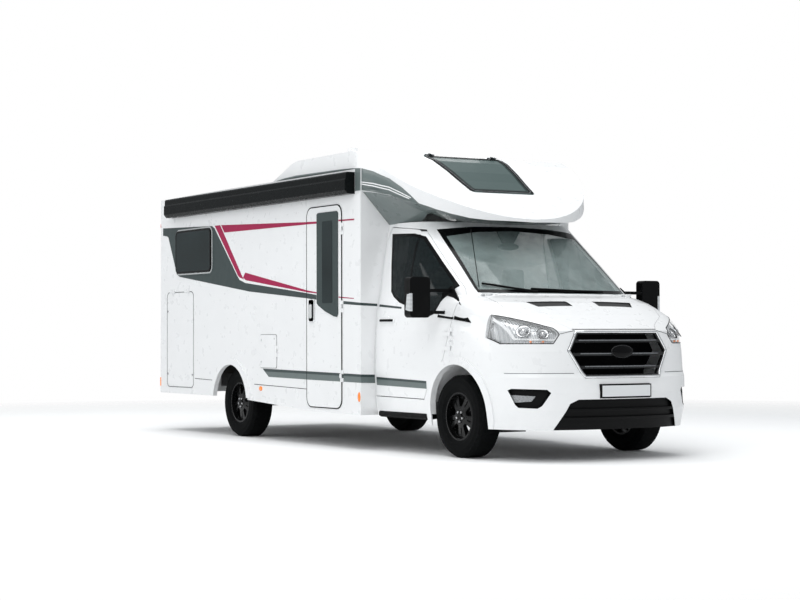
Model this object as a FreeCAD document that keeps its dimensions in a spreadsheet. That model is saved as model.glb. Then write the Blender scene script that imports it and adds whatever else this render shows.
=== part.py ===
import FreeCAD, Part
import math
import os
import re
import Sketcher
from FreeCAD import Placement, Rotation, Vector

# A coachbuilt motorhome on a van chassis, in millimetres.  It stands on the ground with its
# nose towards +X, its entrance side towards -Y and its roof towards +Z.

doc = FreeCAD.newDocument("motorhome")
sheet = doc.addObject("Spreadsheet::Sheet", "sizes")

SIZES = [
    # whole vehicle, axles and clearances
    ("overall_reach", 3425),
    ("front_axle", 2375),
    ("wheelbase", 3954),
    ("rear_axle", "=front_axle - wheelbase"),
    ("front_track_half", 866),
    ("rear_track_half", 962),
    ("panel_gap", 5),
    ("leaf_gap", 7),
    ("seat_gap", 0.3),
    ("overrun", 60),
    # wheels
    ("tyre_radius", 350),
    ("tyre_half", 116),
    ("rim_radius", 205),
    ("rim_half", 96),
    ("rim_skin", 14),
    ("hub_radius", 62),
    ("hub_out", 46),
    ("hub_depth", 34),
    ("spoke_window_inner", 84),
    ("spoke_window_outer", 176),
    ("spoke_window_wide", 120),
    ("spoke_window_narrow", 34),
    ("spoke_slit", 12),
    ("spoke_slit_inner", 96),
    ("nut_circle", 43),
    ("nut_radius", 9),
    # living body
    ("body_half", 1165),
    ("body_rear", -3330),
    ("body_front", 1078),
    ("wall", 30),
    ("wall_foot", 570),
    ("roof_top", 2545),
    ("roof_thick", 40),
    ("roof_fall", 12),
    ("roof_bend", -1650),
    ("rear_stand", 6),
    ("rear_moulding_top", 1130),
    ("floor_low", 640),
    ("floor_thick", 45),
    ("return_inner", 985),
    ("return_high_inner", 835),
    ("return_bend", 1308),
    ("skirt_foot_front", 318),
    ("skirt_foot_middle", 330),
    ("skirt_foot_rear", 408),
    ("skirt_middle", 0),
    ("skirt_bend", 800),
    ("arch_radius", 388),
    ("flare_width", 70),
    ("flare_stand", 16),
    ("wheelhouse_inner", 815),
    ("wheelhouse_top", 775),
    ("wheelhouse_room", 30),
    ("sheet_thick", 12),
    ("step_inner", 815),
    ("step_low", 392),
    # entrance door and its window
    ("entry_rear", 69),
    ("entry_front", 737),
    ("entry_foot", 363),
    ("entry_top", 2240),
    ("entry_round", 90),
    ("entry_stand", 6),
    ("grip_rear", 128),
    ("grip_front", 238),
    ("grip_foot", 1162),
    ("grip_top", 1378),
    ("grip_round", 22),
    ("grip_stand", 15),
    ("light_rear", 279),
    ("light_front", 680),
    ("light_foot", 1240),
    ("light_top", 2163),
    ("light_round", 50),
    ("light_stand", 9),
    # hold doors, side panes and service flap
    ("hold_rear", -3155),
    ("hold_front", -2475),
    ("hold_foot", 480),
    ("hold_top", 1505),
    ("hold_round", 60),
    ("pane_rear", -2896),
    ("pane_front", -2027),
    ("pane_foot", 1710),
    ("pane_top", 2162),
    ("pane_round", 60),
    ("pane_stand", 18),
    ("flap_rear", -909),
    ("flap_front", -556),
    ("flap_foot", 718),
    ("flap_top", 1042),
    ("flap_round", 26),
    ("flap_stand", 4),
    # hinges
    ("barrel_radius", 8),
    ("barrel_length", 36),
    ("barrel_gap", 0.3),
    ("strap_reach", 32),
    ("strap_thick", 5),
    # awning
    ("awning_rear", -3015),
    ("awning_front", 975),
    ("awning_foot", 2320),
    ("awning_top", 2517),
    ("awning_depth", 105),
    # roof hatch and roof vent
    ("hatch_middle", -1300),
    ("hatch_half", 245),
    ("hatch_hole_half", 205),
    ("hatch_height", 55),
    ("hatch_round", 55),
    ("hatch_curb", 20),
    ("vent_along", 570),
    ("vent_across", -950),
    ("vent_radius", 45),
    ("vent_height", 68),
    # raised roof and nose
    ("raised_rear", -635),
    ("nose_start", 900),
    ("nose_tip", 2113),
    ("nose_top", 2712),
    ("nose_low", 1990),
    ("cap_wall", 30),
    ("lip_middle", 2033),
    ("lip_side", 2343),
    ("cap_hole_half", 745),
    ("cap_hole_front", 1620),
    ("sky_rear", 951),
    ("sky_rear_half", 444),
    ("sky_front_half", 350),
    ("sky_round", 50),
    ("sky_length", 823),
    ("sky_drop", 382),
    # cab hull and its panels
    ("cab_rear", 1083),
    ("cab_length", 2337),
    ("cab_half", 1024),
    ("cab_top", 2046),
    ("step_top", 357),
    ("step_foot", 303),
    ("step_rear", 1133),
    ("step_front", 1935),
    ("step_board_inner", 800),
    ("step_board_outer", 1010),
    ("sill_foot", "=step_top + seat_gap"),
    ("cab_wall", 45),
    ("glass_thick", 8),
    ("cab_hole_front", 1560),
    ("cab_hole_half", 730),
    ("screen_half", 791),
    ("screen_foot", 1392),
    ("screen_top", 2015),
    ("screen_rear", 1500),
    ("screen_front", 2800),
    ("screen_round", 40),
    ("hood_rear", 2490),
    ("hood_front", 3330),
    ("hood_half", 800),
    ("hood_low", 1079),
    ("hood_hinge_half", 745),
    ("hood_hinge_up", 1387),
    ("hood_hinge_deep", 45),
    ("grille_half", 520),
    ("grille_foot", 682),
    ("grille_top", 1072),
    ("grille_rear", 3000),
    ("grille_rim", 30),
    ("grille_bar", 24),
    ("grille_depth", 30),
    ("lamp_inner", 560),
    ("lamp_outer", 1030),
    ("lamp_foot", 962),
    ("lamp_top", 1225),
    ("lamp_rear", 2800),
    ("lamp_round", 8),
    ("bumper_rear", 2640),
    ("bumper_top", 722),
    ("plate_half", 260),
    ("plate_foot", 522),
    ("plate_high", 110),
    ("plate_rear", 3400),
    ("arch_along", 2412),
    ("arch_up", 385),
    ("arch_opening", 405),
    ("arch_flare", 66),
    ("flare_proud", 12),
    ("pocket_depth", 25),
    ("fog_inner", 677),
    ("fog_outer", 918),
    ("fog_foot", 440),
    ("fog_top", 598),
    ("intake_half", 650),
    ("intake_foot", 240),
    ("intake_top", 510),
    ("intake_rail", 22),
    ("slot_inner", 140),
    ("slot_outer", 555),
    ("slot_rear", 2775),
    ("slot_front", 2880),
    ("front_arch_radius", 440),
    ("house_front", 2813),
    ("house_inner", 525),
    ("house_outer", 975),
    ("door_rear", 1095),
    ("door_front", 2385),
    ("door_foot", 478),
    ("door_top", 2018),
    ("door_head_inner", 835),
    ("door_clear", 6),
    ("rebate_deep", 14),
    ("rebate_wide", 12),
    ("door_hinge", 2333),
    ("door_hinge_half", 1030),
    ("door_hinge_foot", 2205),
    ("window_rear", 1170),
    ("window_front", 2240),
    ("window_foot", 1205),
    ("window_top", 1955),
    ("window_round", 14),
    ("handle_rear", 1166),
    ("handle_front", 1404),
    ("handle_foot", 1154),
    ("handle_high", 30),
    ("handle_along", 1290),
    ("bezel_radius", 30),
    ("handle_proud", 18),
    ("handle_root", 970),
    ("handle_reach", 1022),
    # cab inside
    ("firewall", 2230),
    ("firewall_top", 1325),
    ("cowl_front", 2480),
    ("cowl_half", 870),
    ("panel_thick", 25),
    ("box_rear", 1250),
    ("box_front", 1650),
    ("box_inner", 200),
    ("box_outer", 600),
    ("box_top", 760),
    ("seat_rear", 1150),
    ("seat_length", 560),
    ("seat_inner", 150),
    ("seat_outer", 650),
    ("seat_high", 900),
    ("dash_rear", 1860),
    ("dash_front", "=firewall - panel_thick - seat_gap"),
    ("dash_foot", 790),
    ("dash_top", 1300),
    ("dash_half", 880),
    ("dash_round", 30),
    ("wheel_along", 1790),
    ("wheel_across", 380),
    ("wheel_up", 1150),
    ("wheel_ring", 185),
    ("wheel_grip", 14),
    ("column_radius", 26),
    ("column_length", 180),
    ("column_drop", 84.5),
    ("wheel_spoke", 20),
    # mirrors
    ("mirror_inner", 1148),
    ("mirror_outer", 1350),
    ("mirror_foot", 1185),
    ("mirror_top", 1530),
    ("mirror_back", 2130),
    ("mirror_front", 2222),
    ("mirror_round", 34),
    ("mirror_arm_back", 2190),
    ("mirror_arm_wide", 26),
    ("mirror_arm_inner", 900),
    ("mirror_high_arm", 1402),
    ("mirror_low_arm", 1216),
    ("mirror_arm_high", 28),
    # rear end
    ("rear_lamp_inner", 1040),
    ("rear_lamp_outer", 1130),
    ("rear_lamp_foot", 600),
    ("rear_lamp_top", 1100),
    ("rear_lamp_reach", 3390),
    ("rear_bumper_half", 1130),
    ("rear_bumper_top", 560),
    ("rear_bumper_round", 30),
    # frame and running gear
    ("rail_half", 430),
    ("rail_width", 70),
    ("rail_foot", 470),
    ("rail_rear", -3250),
    ("rail_front", 3080),
    ("cross_width", 60),
    ("cross_foot", 520),
    ("radiator_thick", 50),
    ("radiator_half", 420),
    ("radiator_foot", 420),
    ("radiator_top", 1000),
    ("kingpin_foot_half", 770),
    ("strut_top_half", 640),
    ("strut_top", 905),
    ("strut_radius", 24),
    ("arm_top", 235),
    ("strut_rise",
     "=strut_radius * (kingpin_foot_half - strut_top_half) / (strut_top - arm_top)"),
    ("kingpin_foot", "=arm_top + strut_rise + seat_gap"),
    ("upright_inner", 742),
    ("upright_outer", 800),
    ("upright_half", 40),
    ("upright_foot", 246),
    ("upright_top", 474),
    ("spindle_radius", 50),
    ("arm_foot", 205),
    ("arm_half", 42),
    ("arm_inner", 300),
    ("subframe_rear", 2260),
    ("subframe_front", 2700),
    ("subframe_half", 395),
    ("subframe_top", 300),
    ("tower_radius", 92),
    ("engine_rear", 2330),
    ("engine_front", 2960),
    ("engine_half", 350),
    ("engine_top", 1000),
    ("beam_radius", 42),
    ("drum_radius", 140),
    ("drum_inner", 868),
    ("leaf_reach", 650),
    ("leaf_inner", 500),
    ("leaf_outer", 560),
    ("leaf_foot", 385),
    ("leaf_top", 425),
    ("hanger_half", 30),
    ("fuel_rear", 1150),
    ("fuel_front", 1950),
    ("fuel_foot", 300),
    ("waste_rear", -650),
    ("waste_front", 250),
    ("waste_foot", 330),
    ("tank_half", 450),
    ("tank_round", 40),
]

# Outlines, each as shares of the two spans that it is laid out in.
DOOR_SHARES = [(0, 0.005), (0.624, 0), (0.721, 0.124), (0.873, 0.228), (0.957, 0.43), (1, 0.556),
               (0.941, 0.619), (0.407, 0.971), (0.043, 1), (0, 0.923)]
WINDOW_SHARES = [(0.105, 0.3), (0.155, 0.235), (0.26, 0.165), (0.762, 0), (0.819, 0.023),
                 (1, 0.336), (0.726, 0.639), (0.458, 0.934), (0.327, 0.977), (0, 0.993)]
SCREEN_SHARES = [(0, 0), (1, 0), (0.966, 0.936), (0.75, 0.985), (0.5, 1), (0.25, 0.985),
                 (0.034, 0.936)]
HOOD_SHARES = [(0, 0), (0.369, 0), (0.631, 0.069), (0.845, 0.2), (1, 0.25), (1, 0.75),
               (0.845, 0.8), (0.631, 0.931), (0.369, 1), (0, 1), (0, 0.88), (0.131, 0.75),
               (0.155, 0.5), (0.131, 0.25), (0, 0.12)]
GRILLE_SHARES = [(0.125, 0), (0.875, 0), (1, 0.579), (0.91, 1), (0.09, 1), (0, 0.579)]
GRILLE_BAR_SHARES = [0.23, 0.5, 0.78]
LAMP_SHARES = [(0.881, 1), (0.347, 0.684), (0.069, 0.506), (0, 0.297), (0.129, 0), (0.802, 0),
               (1, 0.449)]
NOSE_SHARES = [(1, 0), (1, 0.097), (0.91, 0.307), (0.831, 0.474), (0.766, 0.623),
               (0.712, 0.755), (0.641, 0.907), (0.575, 1), (0.187, 0.997), (0.149, 0.972)]
LIP_SHARES = [(0.369, 0.042), (0.489, 0.1), (0.609, 0.232), (0.687, 0.355), (0.773, 0.523),
              (0.858, 0.7), (0.944, 0.877), (1, 1), (1.03, 1.065)]
AWNING_SHARES = [(0, 0), (0.72, 0), (1, 0.16), (1, 0.62), (0.9, 0.7), (0.9, 0.93), (0.8, 1),
                 (0, 1)]
DASH_SHARES = [(0.1, 0.42), (0.86, 0), (1, 0), (1, 1), (0.42, 1), (0, 0.78)]
SEAT_SHARES = [(0.12, 0), (1, 0), (1, 0.15), (0.32, 0.17), (0.22, 0.82), (0.2, 1), (0.04, 1),
               (0, 0.82)]
TYRE_SHARES = [(0, -0.83), (0.24, -0.97), (0.58, -1), (0.86, -0.93), (1, -0.66), (1, 0.66),
               (0.86, 0.93), (0.58, 1), (0.24, 0.97), (0, 0.83)]

# Plan outlines of the cab from its foot to its roof: height, start of the rounded front, reach
# of the front and half width as shares of the hull's sizes, and the squareness of the corners.
CAB_LEVEL_SHARES = [
    (0.128, 0.553, 0.430, 0.962, 1.42),
    (0.205, 0.553, 0.445, 0.981, 1.42),
    (0.274, 0.553, 0.447, 0.991, 1.42),
    (0.337, 0.553, 0.440, 0.998, 1.42),
    (0.357, 0.553, 0.428, 1.000, 1.42),
    (0.440, 0.553, 0.422, 0.996, 1.42),
    (0.523, 0.542, 0.414, 0.988, 1.50),
    (0.552, 0.521, 0.386, 0.982, 1.85),
    (0.587, 0.478, 0.370, 0.977, 2.14),
    (0.616, 0.435, 0.355, 0.971, 2.14),
    (0.640, 0.392, 0.349, 0.963, 2.14),
    (0.660, 0.328, 0.357, 0.955, 2.07),
    (0.674, 0.264, 0.368, 0.949, 1.93),
    (0.816, 0.157, 0.312, 0.908, 2.07),
    (0.958, 0.050, 0.252, 0.859, 2.21),
    (1.000, 0.029, 0.227, 0.842, 2.14),
]

FOG_SHARES = [(1, 0.92), (0.94, 1), (0.11, 0.96), (0, 0.8), (0.245, 0.13), (0.36, 0),
              (0.79, 0.03), (0.855, 0.18)]
INTAKE_SHARES = [(0, 0), (1, 0), (0.905, 0.88), (0.85, 1), (0.15, 1), (0.095, 0.88)]
INTAKE_RAIL_SHARES = [0.42, 0.68]
SLOT_SHARES = [(0, 0), (1, 0), (1, 0.86), (0, 1)]
STEP_SHARES = [(0, 0.3), (0.88, 0), (1, 0.28), (1, 0.78), (0.95, 1), (0, 1)]

# The raised roof's soffit starts on the cab's outline: its start, reach and half width there.
SOFFIT_SHARES = (0.034, 0.233, 0.846)

SPOKES = 5
PLANES = {"x": "YZ_Plane", "y": "XZ_Plane", "z": "XY_Plane"}
AXES = {"x": Vector(1, 0, 0), "y": Vector(0, 1, 0), "z": Vector(0, 0, 1)}
RIGHT = -1
LEFT = 1
SIDES = (("right", RIGHT), ("left", LEFT))
nodes = {}


def fill_sheet():
    for row, (alias, value) in enumerate(SIZES, start=1):
        sheet.set("A%d" % row, alias)
        sheet.set("B%d" % row, str(value))
        sheet.setAlias("B%d" % row, alias)
    doc.recompute()


class Sheet:
    """Reads a size by its name."""

    def __getattr__(self, alias):
        return float(sheet.get(alias))


s = Sheet()


# ---- building blocks ----

def cells(formula):
    """A formula in named sizes as the document's expression."""
    return re.sub(r"[a-z][a-z_0-9]*", lambda word: "sizes." + word.group(0), str(formula))


def block(name, x, y, z):
    box = doc.addObject("Part::Box", name)
    for side, axis, (low, high) in zip(("Length", "Width", "Height"), "xyz", (x, y, z)):
        box.setExpression(side, cells("(%s) - (%s)" % (high, low)))
        box.setExpression("Placement.Base." + axis, cells(low))
    return box


def rod(name, axis, centre, radius, span):
    """A cylinder along an axis; its centre holds the other two coordinates in order."""
    turns = {"x": Rotation(AXES["y"], 90), "y": Rotation(AXES["x"], -90), "z": Rotation()}
    cylinder = doc.addObject("Part::Cylinder", name)
    cylinder.Placement.Rotation = turns[axis]
    cylinder.setExpression("Radius", cells(radius))
    cylinder.setExpression("Height", cells("(%s) - (%s)" % (span[1], span[0])))
    cylinder.setExpression("Placement.Base." + axis, cells(span[0]))
    for letter, value in zip([letter for letter in "xyz" if letter != axis], centre):
        cylinder.setExpression("Placement.Base." + letter, cells(value))
    return cylinder


def laid_out(shares, first, second):
    """Outline points from shares of two spans, each a (low, high) pair."""
    return [("(%s) + %s * ((%s) - (%s))" % (first[0], one, first[1], first[0]),
             "(%s) + %s * ((%s) - (%s))" % (second[0], two, second[1], second[0]))
            for one, two in shares]


def grown(span, by):
    return ("%s - (%s)" % (span[0], by), "%s + %s" % (span[1], by))


def shrunk(span, by):
    return ("%s + %s" % (span[0], by), "%s - (%s)" % (span[1], by))


def origin_plane(body, role):
    return next(item for item in body.Origin.OriginFeatures if item.Role == role)


def add_outline(sketch, outline):
    count = len(outline)
    for i in range(count):
        turns = [2 * math.pi * step / count for step in (i, i + 1)]
        ends = [Vector(math.cos(turn), math.sin(turn), 0) for turn in turns]
        sketch.addGeometry(Part.LineSegment(*ends))
    for i in range(count):
        sketch.addConstraint(Sketcher.Constraint("Coincident", i, 2, (i + 1) % count, 1))
    for i, point in enumerate(outline):
        for kind, value in zip(("DistanceX", "DistanceY"), point):
            number = sketch.addConstraint(Sketcher.Constraint(kind, i, 1, 1.0))
            sketch.setExpression("Constraints[%d]" % number, cells(value))


def sketched(body, plane, outline, offset="0"):
    sketch = body.newObject("Sketcher::SketchObject", body.Name + "_outline")
    sketch.AttachmentSupport = [(origin_plane(body, plane), "")]
    sketch.MapMode = "FlatFace"
    sketch.setExpression(".AttachmentOffset.Base.z", cells(offset))
    add_outline(sketch, outline)
    return sketch


def round_corners(body, feature, axis, radius):
    """Round the edges of a padded body that run along its axis."""
    doc.recompute([feature])
    names = []
    for number, edge in enumerate(feature.Shape.Edges, start=1):
        run = edge.Vertexes[-1].Point - edge.Vertexes[0].Point
        if run.Length and abs(run.normalize().dot(AXES[axis])) > 0.999:
            names.append("Edge%d" % number)
    rounding = body.newObject("PartDesign::Fillet", body.Name + "_round")
    rounding.Base = (feature, names)
    rounding.setExpression("Radius", cells(radius))


def prism(name, axis, outline, span, corner=None):
    """A body padded along one axis; outline points are (Y, Z), (X, Z) or (X, Y)."""
    body = doc.addObject("PartDesign::Body", name)
    start = "-(%s)" % span[1] if axis == "y" else span[0]
    sketch = sketched(body, PLANES[axis], outline, start)
    pad = body.newObject("PartDesign::Pad", name + "_pad")
    pad.Profile = sketch
    pad.setExpression("Length", cells("(%s) - (%s)" % (span[1], span[0])))
    if corner:
        round_corners(body, pad, axis, corner)
    return body


def oblong(name, axis, first, second, span, corner=None):
    outline = laid_out([(0, 0), (1, 0), (1, 1), (0, 1)], first, second)
    return prism(name, axis, outline, span, corner)


def turned(name, outline):
    """A body turned about the Y axis; outline points are (radius, Y)."""
    body = doc.addObject("PartDesign::Body", name)
    sketch = sketched(body, "XY_Plane", outline)
    turning = body.newObject("PartDesign::Revolution", name + "_turn")
    turning.Profile = sketch
    turning.ReferenceAxis = (sketch, ["V_Axis"])
    turning.Angle = 360
    return body


def fuse(name, *shapes):
    joined = doc.addObject("Part::MultiFuse", name)
    joined.Shapes = list(shapes)
    return joined


def cut(name, base, *tools):
    """Cut the tools away one after the other."""
    for number, tool in enumerate(tools):
        whole = doc.addObject("Part::Cut", "%s_%d" % (name, number))
        whole.Base = base
        whole.Tool = tool
        base = whole
    return base


def common(name, *shapes):
    shared = doc.addObject("Part::MultiCommon", name)
    shared.Shapes = list(shapes)
    return shared


def shaped(name, shape):
    feature = doc.addObject("Part::Feature", name)
    feature.Shape = shape
    return feature


def mirrored(piece):
    twin = doc.addObject("Part::Mirroring", piece.Name + "_twin")
    twin.Source = piece
    twin.Normal = AXES["y"]
    return twin


def hand(side, low, high):
    """A range across the vehicle, given for the left side and turned over for the right."""
    if side == LEFT:
        return (low, high)
    return ("-(%s)" % high, "-(%s)" % low)


def keep(node, *pieces):
    nodes.setdefault(node, []).extend(pieces)


def keep_both(node, piece):
    """Keep a left-hand piece and its right-hand twin."""
    keep(node + "_left", piece)
    keep(node + "_right", mirrored(piece))


# ---- hinges: a leaf's barrel between the two barrels of what carries it ----

def hinge_parts(name, axis, centre, middle, leaf_boxes, frame_boxes):
    """Barrels and straps of one hinge: what goes on the leaf and what goes on its frame.

    centre holds the two coordinates across the axis, middle the place along it, and each box
    the two spans across the axis that a strap or its foot covers.
    """
    half = "barrel_length / 2"
    inner = ("%s - %s" % (middle, half), "%s + %s" % (middle, half))
    spans = {"leaf": [inner],
             "frame": [("%s - %s - barrel_length" % (inner[0], "barrel_gap"),
                        "%s - barrel_gap" % inner[0]),
                       ("%s + barrel_gap" % inner[1],
                        "%s + barrel_gap + barrel_length" % inner[1])]}
    pieces = {"leaf": [], "frame": []}
    for part, boxes in (("leaf", leaf_boxes), ("frame", frame_boxes)):
        for number, span in enumerate(spans[part]):
            label = "%s_%s_%d" % (name, part, number)
            pieces[part].append(rod(label + "_barrel", axis, centre, "barrel_radius", span))
            for first, second in boxes:
                ranges = {"x": (span, first, second), "y": (first, span, second),
                          "z": (first, second, span)}[axis]
                pieces[part].append(block(label + "_strap", *ranges))
    return pieces["leaf"], pieces["frame"]


# ---- cab ----

def front_outline(height, start, reach, half, squareness, rear):
    """A closed plan outline with a rounded front made of two conic corners."""
    left = Vector(start, half, height)
    right = Vector(start, -half, height)
    tip = start + reach
    poles = [left, Vector(tip, half, height), Vector(tip, 0, height),
             Vector(tip, -half, height), right]
    curve = Part.BSplineCurve()
    curve.buildFromPolesMultsKnots(poles, [3, 2, 3], [0, 0.5, 1], False, 2,
                                   [1, squareness, 1, squareness, 1])
    rear_right = Vector(rear, -half, height)
    rear_left = Vector(rear, half, height)
    return Part.Wire([
        curve.toShape(),
        Part.LineSegment(right, rear_right).toShape(),
        Part.LineSegment(rear_right, rear_left).toShape(),
        Part.LineSegment(rear_left, left).toShape(),
    ])


def cab_hull(inset, rear, foot_drop=0):
    """The cab's envelope lofted through its level outlines, set in by a wall."""
    wires = []
    last = len(CAB_LEVEL_SHARES) - 1
    for number, shares in enumerate(CAB_LEVEL_SHARES):
        up, start, reach, half, squareness = shares
        height = up * s.cab_top
        if number == 0:
            height -= foot_drop
        if number == last:
            height -= inset
        wires.append(front_outline(height, s.cab_rear + start * s.cab_length,
                                   reach * s.cab_length - inset, half * s.cab_half - inset,
                                   squareness, rear))
    return Part.makeLoft(wires, True, True)


def build_cab():
    outer = shaped("cab_outer", cab_hull(0, s.cab_rear))
    inner = shaped("cab_inner", cab_hull(s.cab_wall, s.cab_rear - s.overrun, s.overrun))
    glass_inner = shaped("glass_inner",
                         cab_hull(s.glass_thick, s.cab_rear - s.overrun, s.overrun))
    skin = cut("cab_skin", outer, inner)
    glass_skin = cut("glass_skin", outer, glass_inner)

    screen_area = prism("screen_area", "x",
                        laid_out(SCREEN_SHARES, ("-(screen_half)", "screen_half"),
                                 ("screen_foot", "screen_top")),
                        ("screen_rear", "screen_front"), "screen_round")
    keep("windscreen", common("windscreen_glass", glass_skin, screen_area))

    hood_hole = hood_prism("hood_hole", "0")
    hood = common("hood_skin", skin, hood_prism("hood_area", "leaf_gap"))
    grille_area = prism("grille_area", "x",
                        laid_out(GRILLE_SHARES, ("-(grille_half)", "grille_half"),
                                 ("grille_foot", "grille_top")), ("grille_rear", "overall_reach"))
    build_grille(skin, grille_area)
    lamp_areas = []
    for word, side in SIDES:
        across = ("lamp_inner * %d" % side, "lamp_outer * %d" % side)
        area = prism("lamp_area_" + word, "x",
                     laid_out(LAMP_SHARES, across, ("lamp_foot", "lamp_top")),
                     ("lamp_rear", "overall_reach"), "lamp_round")
        lamp_areas.append(area)
        keep("lamps", cut("headlamp_" + word, common("headlamp_raw_" + word, skin, area),
                          hood_hole))
    bumper_area = block("bumper_area", ("bumper_rear", "overall_reach + overrun"),
                        ("-(body_half)", "body_half"), ("0", "bumper_top"))
    plate = block("number_plate", ("plate_rear", "overall_reach"),
                  ("-(plate_half)", "plate_half"), ("plate_foot", "plate_foot + plate_high"))
    arches = [arch_opening(word, side) for word, side in SIDES]
    flares, pockets, slots = build_reliefs(outer)
    bumper = fuse("bumper_flared", common("bumper_skin", skin, bumper_area),
                  common("bumper_flares", flares, bumper_area))
    keep("front_bumper", fuse("bumper", cut("bumper_open", bumper, grille_area, pockets,
                                            *arches), plate))
    door_holes = [door_prism("door_hole_" + word, side, "0") for word, side in SIDES]
    holes = [hood_hole, grille_area, bumper_area] + lamp_areas + [screen_area] + door_holes
    window_area = window_prism("window_area", LEFT)
    door_skin = common("door_skin", skin, door_prism("door_trim", LEFT, "leaf_gap"))
    door = cut("door_panel", door_skin, window_area, *door_edges())
    keep_both("cab_glass", common("door_glass", glass_skin, window_area))
    holes.append(block("sill_cut", ("cab_rear - overrun", "front_axle"),
                       ("-(body_half)", "body_half"), ("0", "sill_foot")))
    flared = fuse("cab_flared", cut("cab_rest", skin, *holes),
                  cut("cab_flares", flares, bumper_area, *door_holes))
    rest = cut("cab_arched", flared, *arches)
    plates = build_cab_plates()
    roof_hole = oblong("cab_roof_hole", "z", ("cab_rear - overrun", "cab_hole_front"),
                       ("-(cab_hole_half)", "cab_hole_half"),
                       ("cab_top - 2 * overrun", "cab_top + overrun"))
    leaf_parts, frame_parts = cab_door_hinges()
    hood_leaf, hood_frame = hood_hinges()
    shell = cut("cab_open", fuse("cab_joined", rest, plates), roof_hole)
    keep("cab_shell", fuse("cab_whole", shell, *(frame_parts + hood_frame)))
    keep_both("cab_door", fuse("door_whole", door, *(leaf_parts + door_handle())))
    keep("hood", fuse("hood_whole", cut("hood_slotted", hood, slots), *hood_leaf))
    build_mirrors()
    build_step_boards()


def arch_opening(word, side):
    """A round arch with straight sides below its middle."""
    across = hand(side, "house_inner", "body_half + overrun")
    drum = rod("front_arch_" + word, "y", ("arch_along", "arch_up"), "arch_opening", across)
    below = block("front_arch_foot_" + word,
                  ("arch_along - arch_opening", "arch_along + arch_opening"), across,
                  ("0", "arch_up"))
    return fuse("front_arch_whole_" + word, drum, below)


def build_reliefs(outer):
    """Arch flares outside the skin, and the shallow pockets of the bumper and of the hood."""
    proud = shaped("cab_proud", cab_hull(-s.flare_proud, s.cab_rear))
    deep = shaped("pocket_floor", cab_hull(s.pocket_depth, s.cab_rear - s.overrun, s.overrun))
    band = cut("pocket_band", proud, deep)
    rings = []
    wells = []
    louvres = []
    for word, side in SIDES:
        rings.append(rod("flare_ring_" + word, "y", ("arch_along", "arch_up"),
                         "arch_opening + arch_flare", hand(side, "house_outer - overrun",
                                                           "body_half")))
        across = ("fog_inner * %d" % side, "fog_outer * %d" % side)
        wells.append(prism("fog_well_" + word, "x",
                           laid_out(FOG_SHARES, across, ("fog_foot", "fog_top")),
                           ("bumper_rear", "overall_reach + overrun")))
        across = ("slot_inner * %d" % side, "slot_outer * %d" % side)
        outline = [(x, y) for y, x in laid_out([(two, one) for one, two in SLOT_SHARES],
                                               across, ("slot_rear", "slot_front"))]
        louvres.append(prism("hood_slot_" + word, "z", outline, ("hood_low", "hood_hinge_up")))
    intake = prism("intake_area", "x", laid_out(INTAKE_SHARES, ("-(intake_half)", "intake_half"),
                                                ("intake_foot", "intake_top")),
                   ("bumper_rear", "overall_reach + overrun"))
    rails = []
    for number, share in enumerate(INTAKE_RAIL_SHARES):
        middle = "intake_foot + %s * (intake_top - intake_foot)" % share
        rails.append(block("intake_rail_%d" % number, ("bumper_rear", "overall_reach + overrun"),
                           ("-(intake_half)", "intake_half"),
                           ("%s - intake_rail / 2" % middle, "%s + intake_rail / 2" % middle)))
    wells.append(cut("intake_open", intake, *rails))
    flares = common("arch_flares", cut("flare_band", proud, outer), fuse("flare_rings", *rings))
    pockets = common("bumper_pockets", band, fuse("pocket_areas", *wells))
    slots = common("hood_slots", band, fuse("slot_areas", *louvres))
    return flares, pockets, slots


def door_edges():
    """What the left door lacks: the roof's underside, and half its thickness at the rear."""
    head = block("door_head", ("cab_rear - overrun", "door_front"),
                 ("house_inner - overrun", "door_head_inner"), ("cab_top - 2 * cab_wall", "cab_top"))
    edge = block("door_edge", ("cab_rear - overrun", "door_rear + leaf_gap + rebate_wide"),
                 ("0", "body_half"), ("door_foot - overrun", "cab_top"))
    rebate = common("door_rebate", edge, shaped("rebate_hull", cab_hull(
        s.rebate_deep, s.cab_rear - s.overrun, s.overrun)))
    return [head, rebate]


def door_handle():
    """A bar and a round key bezel on the left door's skin."""
    bar = oblong("handle_bar", "y", ("handle_rear", "handle_front"),
                 ("handle_foot", "handle_foot + handle_high"), ("handle_root", "handle_reach"),
                 "handle_high / 3")
    bezel = rod("handle_bezel", "y", ("handle_along", "handle_foot + handle_high"),
                "bezel_radius", ("handle_root", "handle_reach - handle_proud / 2"))
    return [bar, bezel]


def build_step_boards():
    """Boards under the sills, shaped as one section along the cab."""
    for word, side in SIDES:
        across = ("step_board_inner * %d" % side, "step_board_outer * %d" % side)
        keep("step_boards", prism("step_board_" + word, "x",
                                  laid_out(STEP_SHARES, across, ("step_foot", "step_top")),
                                  ("step_rear", "step_front")))


def hood_prism(name, gap):
    return prism(name, "z", laid_out(HOOD_SHARES, ("hood_rear + %s" % gap, "hood_front"),
                                     shrunk(("-(hood_half)", "hood_half"), gap)),
                 ("hood_low + %s" % gap, "screen_foot + overrun"))


def door_prism(name, side, gap):
    return prism(name, "y", laid_out(DOOR_SHARES, shrunk(("door_rear", "door_front"), gap),
                                     shrunk(("door_foot", "door_top"), gap)),
                 hand(side, "house_inner", "body_half"))


def window_prism(name, side):
    return prism(name, "y", laid_out(WINDOW_SHARES, ("window_rear", "window_front"),
                                     ("window_foot", "window_top")),
                 hand(side, "house_inner", "body_half"), "window_round")


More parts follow.
